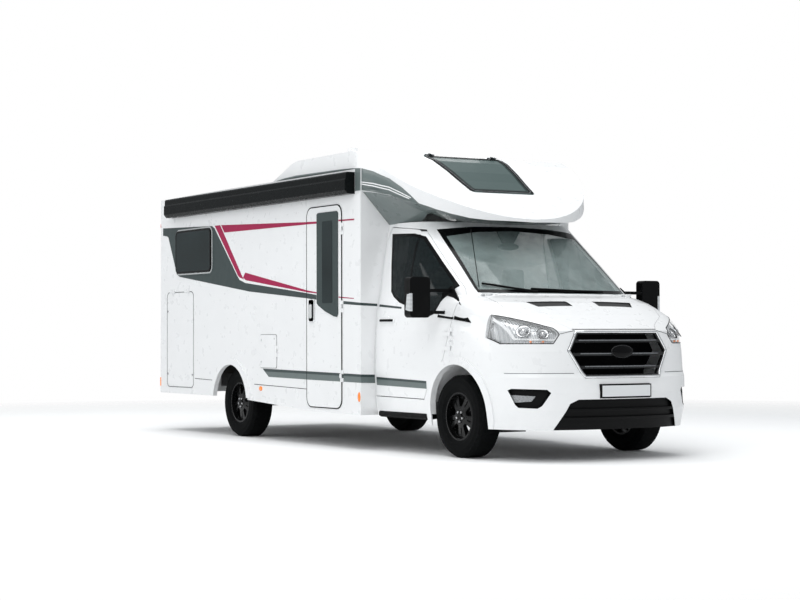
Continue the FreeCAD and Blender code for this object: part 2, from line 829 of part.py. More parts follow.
def build_grille(skin, area):
    """A six-sided rim with bars across its opening."""
    thin = shaped("grille_inner", cab_hull(s.grille_depth, s.cab_rear - s.overrun, s.overrun))
    plate = common("grille_plate", cut("grille_skin", skin, thin), area)
    opening = prism("grille_opening", "x",
                    laid_out(GRILLE_SHARES,
                             shrunk(("-(grille_half)", "grille_half"), "grille_rim"),
                             shrunk(("grille_foot", "grille_top"), "grille_rim")),
                    ("grille_rear", "overall_reach"))
    bars = []
    for number, share in enumerate(GRILLE_BAR_SHARES):
        middle = "grille_foot + %s * (grille_top - grille_foot)" % share
        bars.append(block("grille_bar_%d" % number, ("grille_rear", "overall_reach"),
                          ("-(grille_half)", "grille_half"),
                          ("%s - grille_bar / 2" % middle, "%s + grille_bar / 2" % middle)))
    keep("grille", cut("grille_open", plate, cut("grille_slots", opening, *bars)))


def build_cab_plates():
    """Cab floor, firewall, seat boxes, wheelhouses and strut towers, kept inside the hull."""
    floor = block("cab_floor", ("cab_rear", "firewall"), ("-(cab_half)", "cab_half"),
                  ("floor_low", "floor_low + panel_thick"))
    front = block("firewall_plate", ("firewall - panel_thick", "firewall"),
                  ("-(cab_half)", "cab_half"), ("floor_low", "firewall_top"))
    cowl = block("cowl_plate", ("firewall - panel_thick", "cowl_front"),
                 ("-(cowl_half)", "cowl_half"), ("firewall_top - panel_thick", "firewall_top"))
    boxes = []
    houses = []
    tunnels = []
    towers = []
    for word, side in SIDES:
        boxes.append(block("seat_box_" + word, ("box_rear", "box_front"),
                           hand(side, "box_inner", "box_outer"), ("floor_low", "box_top")))
        hub = ("front_axle", "tyre_radius")
        tunnels.append(rod("arch_room_" + word, "y", hub, "front_arch_radius",
                           hand(side, "house_inner", "body_half")))
        upper = block("house_top_" + word, ("front_axle - 2 * front_arch_radius",
                                            "house_front"),
                      hand(side, "house_inner - sheet_thick", "house_outer"),
                      ("tyre_radius + spindle_radius + overrun", "cab_top"))
        drum = rod("house_drum_" + word, "y", hub, "front_arch_radius + sheet_thick",
                   hand(side, "house_inner - sheet_thick", "house_outer"))
        houses.append(common("house_" + word, drum, upper))
        lean = ("front_axle", "strut_top_half * %d" % side)
        towers.append(rod("tower_" + word, "z", lean, "tower_radius",
                          ("tyre_radius + front_arch_radius",
                           "strut_top + strut_rise + sheet_thick")))
        tunnels.append(rod("tower_room_" + word, "z", lean, "tower_radius - sheet_thick",
                           ("tyre_radius + front_arch_radius - overrun",
                            "strut_top + strut_rise + seat_gap")))
    solid = fuse("cab_plates_raw", floor, front, cowl, *(boxes + houses + towers))
    room = shaped("cab_room", cab_hull(s.cab_wall, s.cab_rear))
    inside = shaped("door_room", cab_hull(s.cab_wall + s.door_clear, s.cab_rear - s.overrun,
                                          s.overrun))
    for word, side in SIDES:
        tunnels.append(cut("door_clearance_" + word, door_prism("door_reach_" + word, side, "0"),
                           inside))
    return cut("cab_plates", common("cab_plates_held", solid, room), *tunnels)


def cab_door_hinges():
    """Two hinges a side: straps over the wing's skin and feet in the door."""
    leaf = []
    frame = []
    for word, side in SIDES:
        across = "door_hinge_half * %d" % side
        thin = hand(side, "door_hinge_half - barrel_radius",
                    "door_hinge_half - barrel_radius + strap_thick")
        deep = hand(side, "door_hinge_half - strap_reach",
                    "door_hinge_half - barrel_radius + strap_thick")
        for place, share in (("low", 0.29), ("high", 0.37)):
            parts = hinge_parts("cab_door_hinge_%s_%s" % (word, place), "z",
                                ("door_hinge", across),
                                "door_foot + %s * (door_top - door_foot)" % share,
                                [(("door_hinge_foot", "door_hinge"), thin),
                                 (("door_hinge_foot", "door_hinge_foot + strap_reach"), deep)],
                                [(("door_hinge", "door_hinge + strap_reach"), deep)])
            if side == LEFT:
                leaf.extend(parts[0])
            frame.extend(parts[1])
    return leaf, frame


def hood_hinges():
    """Hinges over the hood's rear corners."""
    leaf = []
    frame = []
    thin = ("hood_hinge_up - strap_thick", "hood_hinge_up")
    deep = ("hood_hinge_up - hood_hinge_deep", "hood_hinge_up")
    ahead = "hood_rear + leaf_gap + strap_thick"
    behind = "hood_rear - leaf_gap - strap_thick"
    for word, side in SIDES:
        parts = hinge_parts("hood_hinge_" + word, "y", ("hood_rear", "hood_hinge_up"),
                            "hood_hinge_half * %d" % side,
                            [(("hood_rear", "%s + strap_thick" % ahead), thin),
                             ((ahead, "%s + 3 * strap_thick" % ahead), deep)],
                            [(("%s - strap_thick" % behind, "hood_rear"), thin),
                             (("%s - 3 * strap_thick" % behind, behind), deep)])
        leaf.extend(parts[0])
        frame.extend(parts[1])
    return leaf, frame


def build_mirrors():
    """A tall head on two arms that stand on the door's front corner."""
    clear = shaped("mirror_clear", cab_hull(-s.seat_gap, s.cab_rear, 0))
    head = oblong("mirror_head", "x", ("mirror_inner", "mirror_outer"),
                  ("mirror_foot", "mirror_top"), ("mirror_back", "mirror_front"), "mirror_round")
    arms = []
    for word in ("high", "low"):
        foot = "mirror_%s_arm" % word
        arms.append(block("mirror_arm_" + word,
                          ("mirror_arm_back", "mirror_arm_back + mirror_arm_wide"),
                          ("mirror_arm_inner", "mirror_inner + mirror_round"),
                          (foot, "%s + mirror_arm_high" % foot)))
    keep_both("mirror", cut("mirror_whole", fuse("mirror_raw", head, *arms), clear))


# ---- raised roof and nose ----

def nose_plan(name, inset, span):
    """A plan with straight sides and an elliptical nose, padded upwards."""
    rear = s.raised_rear - s.overrun
    outline = front_outline(span[0], s.nose_start, s.nose_tip - s.nose_start - inset,
                            s.body_half - inset, math.sqrt(0.5), rear)
    return shaped(name, Part.Face(outline).extrude(Vector(0, 0, span[1] - span[0])))


def cap_form(name, inset):
    """The raised roof's form: its side view, its plan and its curved lower lip in common."""
    low = s.nose_low - s.overrun if inset else s.nose_low
    plan = nose_plan(name + "_plan", inset, (low, s.nose_top + s.overrun))
    drop = "0" if inset == 0 else "cap_wall"
    side = laid_out(NOSE_SHARES, ("raised_rear + %s" % drop, "nose_tip + seat_gap"),
                    ("nose_low - (%s)" % drop, "nose_top - (%s)" % drop))
    if inset:
        rear = [("raised_rear + 2 * cap_wall", "roof_top - 2 * cap_wall"),
                ("raised_rear + 2 * cap_wall", "nose_low - cap_wall")]
    else:
        rear = [("raised_rear", "roof_top"), ("body_front", "roof_top"),
                ("body_front", "nose_low")]
    view = prism(name + "_side", "y", side + rear, ("-(body_half + overrun)",
                                                  "body_half + overrun"))
    return common(name, common(name + "_block", plan, view), above_lip(name + "_lip", drop))


def above_lip(name, drop):
    """All that lies over the nose's curved lower lip."""
    across = [("%s * body_half" % out, "lip_middle + %s * (lip_side - lip_middle) + %s"
               % (up, drop)) for out, up in LIP_SHARES]
    under = [("-(%s)" % out, up) for out, up in reversed(across)]
    under.append(("0", "lip_middle + %s" % drop))
    high = [("1.03 * body_half", "nose_top + overrun"), ("-1.03 * body_half",
                                                         "nose_top + overrun")]
    return prism(name, "x", under + across + high,
                 ("raised_rear - overrun", "nose_tip + overrun"))


def soffit_form():
    """The slope from the cab's gutter out to the nose's lip."""
    start, reach, half = SOFFIT_SHARES
    inset = s.cap_wall / 2
    low = front_outline(s.door_top + 2 * s.strap_thick, s.cab_rear + start * s.cab_length,
                        reach * s.cab_length - inset, half * s.cab_half - inset,
                        math.sqrt(0.5), s.body_front)
    high = front_outline(s.lip_side, s.nose_start + s.body_front - s.nose_start + inset,
                         s.nose_tip - s.body_front - 2 * inset, s.body_half - inset,
                         math.sqrt(0.5), s.body_front)
    return shaped("soffit_form", Part.makeLoft([low, high], True, True))


def build_cap():
    body = cap_form("cap_body", 0)
    room = cap_form("cap_room", s.cap_wall)
    cab_hole = oblong("cap_cab_hole", "z", ("body_front - overrun", "cap_hole_front"),
                      ("-(cap_hole_half)", "cap_hole_half"), ("nose_low - overrun", "lip_side"))
    cab_seat = shaped("cab_seat", cab_hull(0, s.cab_rear - s.overrun))
    skin = cut("cap_skin", body, room)
    soffit = cut("soffit", soffit_form(), above_lip("soffit_top", "cap_wall / 2"))
    shell = cut("cap_shell", fuse("cap_lined", skin, soffit), sky_prism("sky_hole", "0"),
                cab_hole, cab_seat)
    lid = common("sky_skin", skin, sky_prism("sky_area", "panel_gap"))
    vent = rod("roof_vent", "z", ("vent_along", "vent_across"), "vent_radius",
               ("nose_top - cap_wall / 2", "nose_top + vent_height"))
    leaf = []
    frame = []
    over = "nose_top + barrel_radius + seat_gap"
    plate = ("nose_top - cap_wall / 2", over)
    for word, side in SIDES:
        parts = hinge_parts("sky_hinge_" + word, "y", ("sky_rear", over),
                            "sky_front_half * %d" % side,
                            [(("sky_rear", "sky_rear + strap_reach"),
                              ("nose_top + seat_gap", over)),
                             (("sky_rear + panel_gap + seat_gap", "sky_rear + strap_reach"),
                              plate)],
                            [(("sky_rear - strap_reach", "sky_rear"),
                              ("nose_top + seat_gap", over)),
                             (("sky_rear - strap_reach", "sky_rear - strap_reach / 2"), plate)])
        leaf.extend(parts[0])
        frame.extend(parts[1])
    keep("overcab_cap", fuse("cap_whole", shell, vent, *frame))
    keep("skylight", fuse("skylight_whole", lid, *leaf))


def sky_prism(name, gap):
    """The skylight's outline, padded square to the roof's slope from its hinge line."""
    outline = [(gap, "-(sky_rear_half) + %s" % gap),
               ("sky_length - %s" % gap, "-(sky_front_half) + %s" % gap),
               ("sky_length - %s" % gap, "sky_front_half - %s" % gap),
               (gap, "sky_rear_half - %s" % gap)]
    area = prism(name, "z", outline, ("-3 * cap_wall", "3 * cap_wall"), "sky_round")
    area.Placement = Placement(Vector(s.sky_rear, 0, s.nose_top),
                               Rotation(AXES["y"], math.degrees(math.asin(s.sky_drop
                                                                          / s.sky_length))))
    return area


# ---- living body ----

def side_opening(name, word, side, along, up, corner, grow="panel_gap"):
    span = hand(side, "body_half - 3 * wall", "body_half + overrun")
    return oblong("%s_%s" % (name, word), "y", grown(along, grow), grown(up, grow), span, corner)


def outer_leaf(name, side, along, up, corner, stand="0"):
    return oblong(name, "y", along, up, hand(side, "body_half - wall", "body_half + %s" % stand),
                  corner)


def side_hinge(name, side, axis, edge, middle, leaf_span, frame_span, stand):
    """A hinge outside the wall; edge is the gap's far side along the hinge's swing."""
    across = "(body_half + %s + barrel_radius) * %d" % (stand, side)
    strap = hand(side, "body_half - strap_thick", "body_half + %s + strap_thick" % stand)
    if axis == "z":
        return hinge_parts(name, axis, (edge, across), middle, [(leaf_span, strap)],
                           [(frame_span, strap)])
    return hinge_parts(name, axis, (across, edge), middle, [(strap, leaf_span)],
                       [(strap, frame_span)])


def build_living_body():
    entry_span = ("entry_rear", "entry_front")
    for word, side in SIDES:
        openings = [
            side_opening("pane_hole", word, side, ("pane_rear", "pane_front"),
                         ("pane_foot", "pane_top"), "pane_round", "0"),
            side_opening("hold_hole", word, side, ("hold_rear", "hold_front"),
                         ("hold_foot", "hold_top"), "hold_round"),
            rod("wall_arch_" + word, "y", ("rear_axle", "tyre_radius"), "arch_radius",
                hand(side, "body_half - 3 * wall", "body_half + overrun")),
        ]
        if side == RIGHT:
            openings.append(side_opening("entry_hole", word, side, entry_span,
                                         ("entry_foot", "entry_top"), "entry_round"))
            openings.append(side_opening("flap_hole", word, side, ("flap_rear", "flap_front"),
                                         ("flap_foot", "flap_top"), "flap_round"))
        hold_leaf, hold_frame = hold_hinges(word, side)
        keep("hold_door_" + word,
             fuse("hold_door_whole_" + word,
                  outer_leaf("hold_leaf_" + word, side, ("hold_rear", "hold_front"),
                             ("hold_foot", "hold_top"), "hold_round"), *hold_leaf))
        added = list(hold_frame)
        if side == RIGHT:
            added += build_entry() + build_flap()
        plate = block("wall_plate_" + word, ("body_rear + wall", "body_front"),
                      hand(side, "body_half - wall", "body_half"),
                      ("wall_foot", "roof_top - roof_thick"))
        inner_edge = wall_return(word, side)
        wall = cut("wall_" + word, fuse("wall_raw_" + word, plate, inner_edge), *openings)
        keep(word + "_wall", fuse("wall_whole_" + word, wall, *added))
        keep("side_windows",
             oblong("pane_" + word, "y", shrunk(("pane_rear", "pane_front"), "seat_gap"),
                    shrunk(("pane_foot", "pane_top"), "seat_gap"),
                    hand(side, "body_half - wall", "body_half + pane_stand"), "pane_round"))
        build_skirt(word, side, openings[1:4])


def wall_return(word, side):
    """The wall's front face, which closes it against the cab's narrowing side."""
    profile = [("return_inner", "skirt_foot_front"), ("body_half - wall", "skirt_foot_front"),
               ("body_half - wall", "roof_top - roof_thick"),
               ("return_inner", "roof_top - roof_thick"), ("return_inner", "lip_side"),
               ("return_high_inner", "lip_side - 3 * overrun"),
               ("return_high_inner", "cab_top"), ("return_inner", "return_bend")]
    outline = [("(%s) * %d" % (across, side), up) for across, up in profile]
    return prism("wall_return_" + word, "x", outline, ("body_front - wall", "body_front"))


def hold_hinges(word, side):
    leaf = []
    frame = []
    for place, share in (("rear", 0.22), ("front", 0.78)):
        middle = "hold_rear + %s * (hold_front - hold_rear)" % share
        parts = side_hinge("hold_hinge_%s_%s" % (word, place), side, "x", "hold_top + panel_gap",
                           middle, ("hold_top - strap_reach", "hold_top + panel_gap"),
                           ("hold_top + panel_gap", "hold_top + strap_reach"), "0")
        leaf.extend(parts[0])
        frame.extend(parts[1])
    return leaf, frame


def build_entry():
    """The entrance door, hung on its front edge; returns what stays on the wall."""
    leaf = []
    frame = []
    for number, share in enumerate((0.16, 0.5, 0.88)):
        parts = side_hinge("entry_hinge_%d" % number, RIGHT, "z", "entry_front + panel_gap",
                           "entry_foot + %s * (entry_top - entry_foot)" % share,
                           ("entry_front - strap_reach", "entry_front + panel_gap"),
                           ("entry_front + panel_gap", "entry_front + strap_reach"),
                           "entry_stand")
        leaf.extend(parts[0])
        frame.extend(parts[1])
    door = outer_leaf("entry_leaf", RIGHT, ("entry_rear", "entry_front"),
                      ("entry_foot", "entry_top"), "entry_round", "entry_stand")
    window = side_opening("light_hole", "right", RIGHT, ("light_rear", "light_front"),
                          ("light_foot", "light_top"), "light_round", "0")
    pane = oblong("light_pane", "y", shrunk(("light_rear", "light_front"), "seat_gap"),
                  shrunk(("light_foot", "light_top"), "seat_gap"),
                  hand(RIGHT, "body_half - wall + strap_thick", "body_half + light_stand"),
                  "light_round")
    grip = oblong("entry_grip", "y", ("grip_rear", "grip_front"), ("grip_foot", "grip_top"),
                  hand(RIGHT, "body_half", "body_half + entry_stand + grip_stand"),
                  "grip_round")
    keep("entrance_door", fuse("entry_whole", cut("entry_open", door, window), grip, *leaf),
         pane)
    return frame


def build_flap():
    """The service flap, hung on its front edge; returns what stays on the wall."""
    middle = "(flap_foot + flap_top) / 2"
    leaf, frame = side_hinge("flap_hinge", RIGHT, "z", "flap_front + panel_gap", middle,
                             ("flap_front - strap_reach", "flap_front + panel_gap"),
                             ("flap_front + panel_gap", "flap_front + strap_reach"),
                             "flap_stand")
    door = outer_leaf("flap_leaf", RIGHT, ("flap_rear", "flap_front"), ("flap_foot", "flap_top"),
                      "flap_round", "flap_stand")
    keep("service_flap", fuse("flap_whole", door, *leaf))
    return frame


def build_skirt(word, side, openings):
    """The panel below the wall, with the rear arch's flare."""
    foot = [("body_rear + wall", "wall_foot"), ("body_rear + wall", "skirt_foot_rear"),
            ("rear_axle", "skirt_foot_rear"), ("skirt_middle", "skirt_foot_middle"),
            ("skirt_bend", "skirt_foot_front"), ("body_front", "skirt_foot_front"),
            ("body_front", "wall_foot")]
    skirt = prism("skirt_raw_" + word, "y", foot, hand(side, "body_half - wall", "body_half"))
    hub = ("rear_axle", "tyre_radius")
    ring = rod("flare_raw_" + word, "y", hub, "arch_radius + flare_width",
               hand(side, "body_half", "body_half + flare_stand"))
    above = block("flare_above_" + word, ("rear_axle - 2 * arch_radius",
                                          "rear_axle + 2 * arch_radius"),
                  hand(side, "body_half", "body_half + flare_stand"),
                  ("skirt_foot_rear", "roof_top"))
    flare = common("flare_" + word, ring, above)
    keep("side_skirts", cut("skirt_" + word, fuse("skirt_flared_" + word, skirt, flare),
                            *openings))


def build_shell():
    floor = block("floor_plate", ("body_rear + wall", "body_front - wall"),
                  ("-(body_half - wall)", "body_half - wall"),
                  ("floor_low", "floor_low + floor_thick"))
    houses = []
    rooms = []
    for word, side in SIDES:
        reach = ("rear_axle - arch_radius - wheelhouse_room",
                 "rear_axle + arch_radius + wheelhouse_room")
        rooms.append(block("wheel_room_" + word, reach,
                           hand(side, "wheelhouse_inner", "body_half - wall + overrun"),
                           ("wall_foot - overrun", "wheelhouse_top")))
        houses.append(block("wheel_house_" + word, grown(reach, "sheet_thick"),
                            hand(side, "wheelhouse_inner - sheet_thick", "body_half - wall"),
                            ("floor_low", "wheelhouse_top + sheet_thick")))
    step = block("step_pan", ("entry_rear - sheet_thick", "entry_front + sheet_thick"),
                 hand(RIGHT, "step_inner - sheet_thick", "body_half - wall"),
                 ("step_low - sheet_thick", "floor_low + floor_thick"))
    step_room = block("step_room", ("entry_rear", "entry_front"),
                      hand(RIGHT, "step_inner", "body_half - wall + overrun"),
                      ("step_low", "floor_low + floor_thick + overrun"))
    keep("floor", cut("floor_piece", fuse("floor_raw", floor, step, *houses), step_room, *rooms))
    plate = block("rear_plate", ("body_rear", "body_rear + wall"),
                  ("-(body_half)", "body_half"), ("skirt_foot_rear", "roof_top - roof_thick"))
    moulding = block("rear_moulding", ("body_rear - rear_stand", "body_rear + wall"),
                     ("-(body_half)", "body_half"), ("skirt_foot_rear", "rear_moulding_top"))
    keep("rear_wall", fuse("rear_whole", plate, moulding))
    build_roof()
    keep("awning", prism("awning_case", "x",
                         laid_out(AWNING_SHARES, ("-(body_half)", "-(body_half + awning_depth)"),
                                  ("awning_foot", "awning_top")),
                         ("awning_rear", "awning_front")))
    keep("rear_bumper", oblong("rear_bumper_bar", "y", ("-(overall_reach)",
                                                        "body_rear - rear_stand"),
                               ("skirt_foot_rear", "rear_bumper_top"),
                               ("-(rear_bumper_half)", "rear_bumper_half"),
                               "rear_bumper_round"))
    for word, side in SIDES:
        keep("lamps", oblong("tail_lamp_" + word, "x",
                             hand(side, "rear_lamp_inner", "rear_lamp_outer"),
                             ("rear_lamp_foot", "rear_lamp_top"),
                             ("-(rear_lamp_reach)", "body_rear - rear_stand"),
                             "rear_bumper_round"))


def build_roof():
    plate = prism("roof_plate", "y",
                  [("body_rear", "roof_top - roof_thick"), ("body_front", "roof_top - roof_thick"),
                   ("body_front", "roof_top"), ("roof_bend", "roof_top"),
                   ("body_rear", "roof_top - roof_fall")], ("-(body_half)", "body_half"))
    front_hole = block("roof_front_hole", ("raised_rear + 3 * cap_wall", "body_front + overrun"),
                       ("-(body_half - 2 * wall)", "body_half - 2 * wall"),
                       ("roof_top - 2 * roof_thick", "roof_top + overrun"))
    hole_span = ("-(hatch_hole_half)", "hatch_hole_half")
    hatch_hole = oblong("hatch_hole", "z", ("hatch_middle - hatch_hole_half",
                                            "hatch_middle + hatch_hole_half"), hole_span,
                        ("roof_top - 2 * roof_thick", "roof_top + 2 * roof_thick"))
    curb_along = ("hatch_middle - hatch_hole_half - hatch_curb",
                  "hatch_middle + hatch_hole_half + hatch_curb")
    curb = block("hatch_curb", curb_along, grown(hole_span, "hatch_curb"),
                 ("roof_top - roof_thick / 2", "roof_top + hatch_curb"))
    rim = "hatch_middle - hatch_half"
    foot = "roof_top + hatch_curb + seat_gap"
    parts = hinge_parts("hatch_hinge", "y", (rim, "%s + barrel_radius" % foot), "0",
                        [((rim, "%s + strap_reach" % rim),
                          ("%s + barrel_radius" % foot,
                           "%s + barrel_radius + strap_thick" % foot))],
                        [(("%s - strap_thick" % rim, "%s + strap_thick" % rim),
                          ("roof_top - roof_thick / 2", "%s + strap_thick" % foot))])
    keep("roof", fuse("roof_whole", cut("roof_open", fuse("roof_curbed", plate, curb), front_hole,
                                        hatch_hole), *parts[1]))
    lid = oblong("hatch_lid", "z", ("%s + barrel_radius" % rim, "hatch_middle + hatch_half"),
                 ("-(hatch_half)", "hatch_half"), (foot, "%s + hatch_height" % foot),
                 "hatch_round")
    keep("roof_hatch", fuse("hatch_whole", lid, *parts[0]))


# ---- wheels, axles and frame ----

def build_wheels():
    tyre = turned("tyre_form", [("rim_radius + %s * (tyre_radius - rim_radius)" % out,
                                 "%s * tyre_half" % across) for out, across in TYRE_SHARES])
    rim = build_rim()
    for word, side in SIDES:
        for place, axle, half in (("front", "front_axle", "front_track_half"),
                                  ("rear", "rear_axle", "rear_track_half")):
            for kind, form in (("tyre", tyre), ("rim", rim)):
                copy = doc.addObject("Part::Compound", "%s_%s_%s" % (kind, place, word))
                copy.Links = [form]
                if side == RIGHT:
                    copy.Placement.Rotation = Rotation(AXES["z"], 180)
                copy.setExpression("Placement.Base.x", cells(axle))
                copy.setExpression("Placement.Base.y", cells("%s * %d" % (half, side)))
                copy.setExpression("Placement.Base.z", cells("tyre_radius"))
                keep("%s_%s_%s" % (kind, place, word), copy)


def build_rim():
    """A barrel and a dished disc with five split spokes, its outer face towards +Y."""
    barrel = "rim_radius - rim_skin"
    outline = [("rim_radius", "-(rim_half)"), ("rim_radius", "rim_half"), (barrel, "rim_half"),
               (barrel, "rim_half / 2 + rim_skin"), ("hub_radius", "hub_out + hub_depth"),
               ("0", "hub_out + hub_depth"), ("0", "hub_out"), ("hub_radius", "hub_out"),
               (barrel, "rim_half / 2"), (barrel, "-(rim_half)")]
    disc = turned("rim_disc", outline)
    tools = []
    for number in range(SPOKES):
        window = prism("spoke_window_%d" % number, "y",
                       [("-(spoke_window_narrow) / 2", "spoke_window_inner"),
                        ("spoke_window_narrow / 2", "spoke_window_inner"),
                        ("spoke_window_wide / 2", "spoke_window_outer"),
                        ("-(spoke_window_wide) / 2", "spoke_window_outer")],
                       ("0", "rim_half"))
        slit = prism("spoke_slit_%d" % number, "y",
                     [("-(spoke_slit) / 2", "-(spoke_window_outer)"),
                      ("spoke_slit / 2", "-(spoke_window_outer)"),
                      ("spoke_slit / 2", "-(spoke_slit_inner)"),
                      ("-(spoke_slit) / 2", "-(spoke_slit_inner)")], ("0", "rim_half"))
        for tool in (window, slit):
            tool.Placement.Rotation = Rotation(AXES["y"], number * 360 / SPOKES)
            tools.append(tool)
    nuts = []
    for number in range(SPOKES):
        turn = math.radians((number + 0.5) * 360 / SPOKES)
        nuts.append(rod("nut_%d" % number, "y", ("nut_circle * %.6f" % math.sin(turn),
                                                 "nut_circle * %.6f" % math.cos(turn)),
                        "nut_radius", ("hub_out + hub_depth / 2",
                                       "hub_out + hub_depth + nut_radius")))
    return fuse("rim_form", cut("rim_cut", disc, *tools), *nuts)


def build_knuckles():
    """Struts and uprights about a leaning kingpin, between lower arm and strut tower."""
    foot = Vector(s.front_axle, s.kingpin_foot_half, s.kingpin_foot)
    top = Vector(s.front_axle, s.strut_top_half, s.strut_top)
    strut = doc.addObject("Part::Cylinder", "strut")
    strut.setExpression("Radius", cells("strut_radius"))
    strut.Height = (top - foot).Length
    strut.Placement = Placement(foot, Rotation(AXES["z"], top - foot))
    upright = block("upright", ("front_axle - upright_half", "front_axle + upright_half"),
                    ("upright_inner", "upright_outer"), ("upright_foot", "upright_top"))
    spindle = rod("spindle", "y", ("front_axle", "tyre_radius"), "spindle_radius",
                  ("upright_inner", "front_track_half + hub_out - seat_gap"))
    keep_both("knuckle", fuse("knuckle_whole", strut, upright, spindle))


def build_frame():
    pieces = []
    for word, side in SIDES:
        across = hand(side, "rail_half - rail_width / 2", "rail_half + rail_width / 2")
        pieces.append(block("rail_" + word, ("rail_rear", "rail_front"), across,
                            ("rail_foot", "floor_low")))
        pieces.append(block("lower_arm_" + word, ("front_axle - arm_half", "front_axle + arm_half"),
                            hand(side, "arm_inner", "kingpin_foot_half + arm_half / 2"),
                            ("arm_foot", "arm_top")))
        for place, at in (("rear", "subframe_rear"), ("front", "subframe_front - cross_width")):
            pieces.append(block("subframe_leg_%s_%s" % (place, word),
                                (at, "%s + cross_width" % at),
                                hand(side, "subframe_half - rail_width / 2",
                                     "rail_half + rail_width / 2"), ("arm_top", "rail_foot")))
        for place, sign in (("rear", "-"), ("front", "+")):
            eye = "rear_axle %s (leaf_reach - hanger_half)" % sign
            pieces.append(block("hanger_%s_%s" % (place, word),
                                ("%s - hanger_half" % eye, "%s + hanger_half" % eye),
                                hand(side, "rail_half", "leaf_outer"),
                                ("leaf_top + seat_gap", "floor_low")))
    pieces.append(block("subframe", ("subframe_rear", "subframe_front"),
                        ("-(subframe_half)", "subframe_half"), ("arm_top", "subframe_top")))
    for number, share in enumerate((0.0, 0.2, 0.42, 0.63, 0.82)):
        at = "rail_rear + %s * (subframe_rear - rail_rear)" % share
        pieces.append(block("cross_%d" % number, (at, "%s + cross_width" % at),
                            ("-(rail_half)", "rail_half"), ("cross_foot", "floor_low")))
    pieces.append(block("radiator", ("rail_front", "rail_front + radiator_thick"),
                        ("-(radiator_half)", "radiator_half"),
                        ("radiator_foot", "radiator_top")))
    keep("chassis_frame", fuse("chassis_whole", *pieces))
    keep("engine", block("engine_block", ("engine_rear", "engine_front"),
                         ("-(engine_half)", "engine_half"),
                         ("subframe_top + seat_gap", "engine_top")))
    for word in ("fuel", "waste"):
        keep("tanks", oblong(word + "_tank", "x", ("-(tank_half)", "tank_half"),
                             (word + "_foot", "rail_foot - seat_gap"),
                             (word + "_rear", word + "_front"), "tank_round"))


def build_rear_axle():
    hub = ("rear_axle", "tyre_radius")
    pieces = [rod("rear_beam", "y", hub, "beam_radius", ("-(drum_inner)", "drum_inner"))]
    for word, side in SIDES:
        pieces.append(rod("drum_" + word, "y", hub, "drum_radius",
                          hand(side, "drum_inner", "rear_track_half")))
        pieces.append(rod("rear_hub_" + word, "y", hub, "spindle_radius",
                          hand(side, "drum_inner", "rear_track_half + hub_out - seat_gap")))
        pieces.append(block("leaf_spring_" + word,
                            ("rear_axle - leaf_reach", "rear_axle + leaf_reach"),
                            hand(side, "leaf_inner", "leaf_outer"), ("leaf_foot", "leaf_top")))
    keep("rear_axle", fuse("rear_axle_whole", *pieces))


# ---- cab furniture ----

def build_furniture():
    dash = prism("dash_body", "y", laid_out(DASH_SHARES, ("dash_rear", "dash_front"),
                                            ("dash_foot", "dash_top")),
                 ("-(dash_half)", "dash_half"), "dash_round")
    lean = Rotation(AXES["y"], 90 + math.degrees(math.asin(s.column_drop / s.column_length)))
    centre = Vector(s.wheel_along, s.wheel_across, s.wheel_up)
    ring = doc.addObject("Part::Torus", "steering_ring")
    ring.setExpression("Radius1", cells("wheel_ring"))
    ring.setExpression("Radius2", cells("wheel_grip"))
    ring.Placement = Placement(centre, lean)
    column = doc.addObject("Part::Cylinder", "steering_column")
    column.setExpression("Radius", cells("column_radius"))
    column.setExpression("Height", cells("column_length"))
    column.Placement = Placement(centre, lean)
    spokes = []
    for number in range(2):
        spoke = doc.addObject("Part::Box", "steering_spoke_%d" % number)
        spoke.setExpression("Length", cells("2 * wheel_ring" if number == 0 else "wheel_ring"))
        spoke.setExpression("Width", cells("2 * wheel_spoke"))
        spoke.setExpression("Height", cells("wheel_spoke"))
        turn = lean.multiply(Rotation(AXES["z"], 90 * (1 - number)))
        shift = Vector(-s.wheel_ring if number == 0 else 0, -s.wheel_spoke, 0)
        spoke.Placement = Placement(centre + turn.multVec(shift), turn)
        spokes.append(spoke)
    keep("dashboard", fuse("dash_whole", dash, column, ring, *spokes))
    for word, side in SIDES:
        seat = prism("seat_" + word, "y",
                     laid_out(SEAT_SHARES, ("seat_rear", "seat_rear + seat_length"),
                              ("box_top + seat_gap", "box_top + seat_high")),
                     hand(side, "seat_inner", "seat_outer"))
        keep("cab_seats", seat)


# ---- check and export ----

def check_document():
    doc.recompute()
    for item in doc.Objects:
        if "Invalid" in item.State or "Error" in item.State:
            raise RuntimeError("%s did not build: %s" % (item.Name, item.State))


def export_nodes():
    os.makedirs("parts", exist_ok=True)
    for node, pieces in nodes.items():
        shapes = []
        for piece in pieces:
            shapes.extend(piece.Shape.Solids)
        if not shapes:
            raise RuntimeError("%s has no solid" % node)
        for shape in shapes:
            if not shape.isValid():
                raise RuntimeError("%s has a bad solid" % node)
        whole = shapes[0] if len(shapes) == 1 else Part.makeCompound(shapes)
        whole.exportStep("parts/%s.step" % node)
        print("%-20s %2d solids  %.6f m3" % (node, len(shapes), whole.Volume / 1e9))


fill_sheet()
build_cab()
build_cap()
build_living_body()
build_shell()
build_wheels()
build_knuckles()
build_frame()
build_rear_axle()
build_furniture()
check_document()
export_nodes()
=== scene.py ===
import math

import bmesh
import bpy
from bpy.props import FloatProperty, FloatVectorProperty, IntProperty, PointerProperty
from mathutils import Matrix, Quaternion, Vector
from mathutils.bvhtree import BVHTree


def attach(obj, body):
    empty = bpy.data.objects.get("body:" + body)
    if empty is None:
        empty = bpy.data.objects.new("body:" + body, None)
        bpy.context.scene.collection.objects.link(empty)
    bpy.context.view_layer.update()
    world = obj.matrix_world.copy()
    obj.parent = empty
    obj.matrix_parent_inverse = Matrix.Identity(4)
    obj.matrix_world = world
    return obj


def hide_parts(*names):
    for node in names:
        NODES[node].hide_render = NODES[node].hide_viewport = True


# Looks of a coachbuilt motorhome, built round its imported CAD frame, in metres.

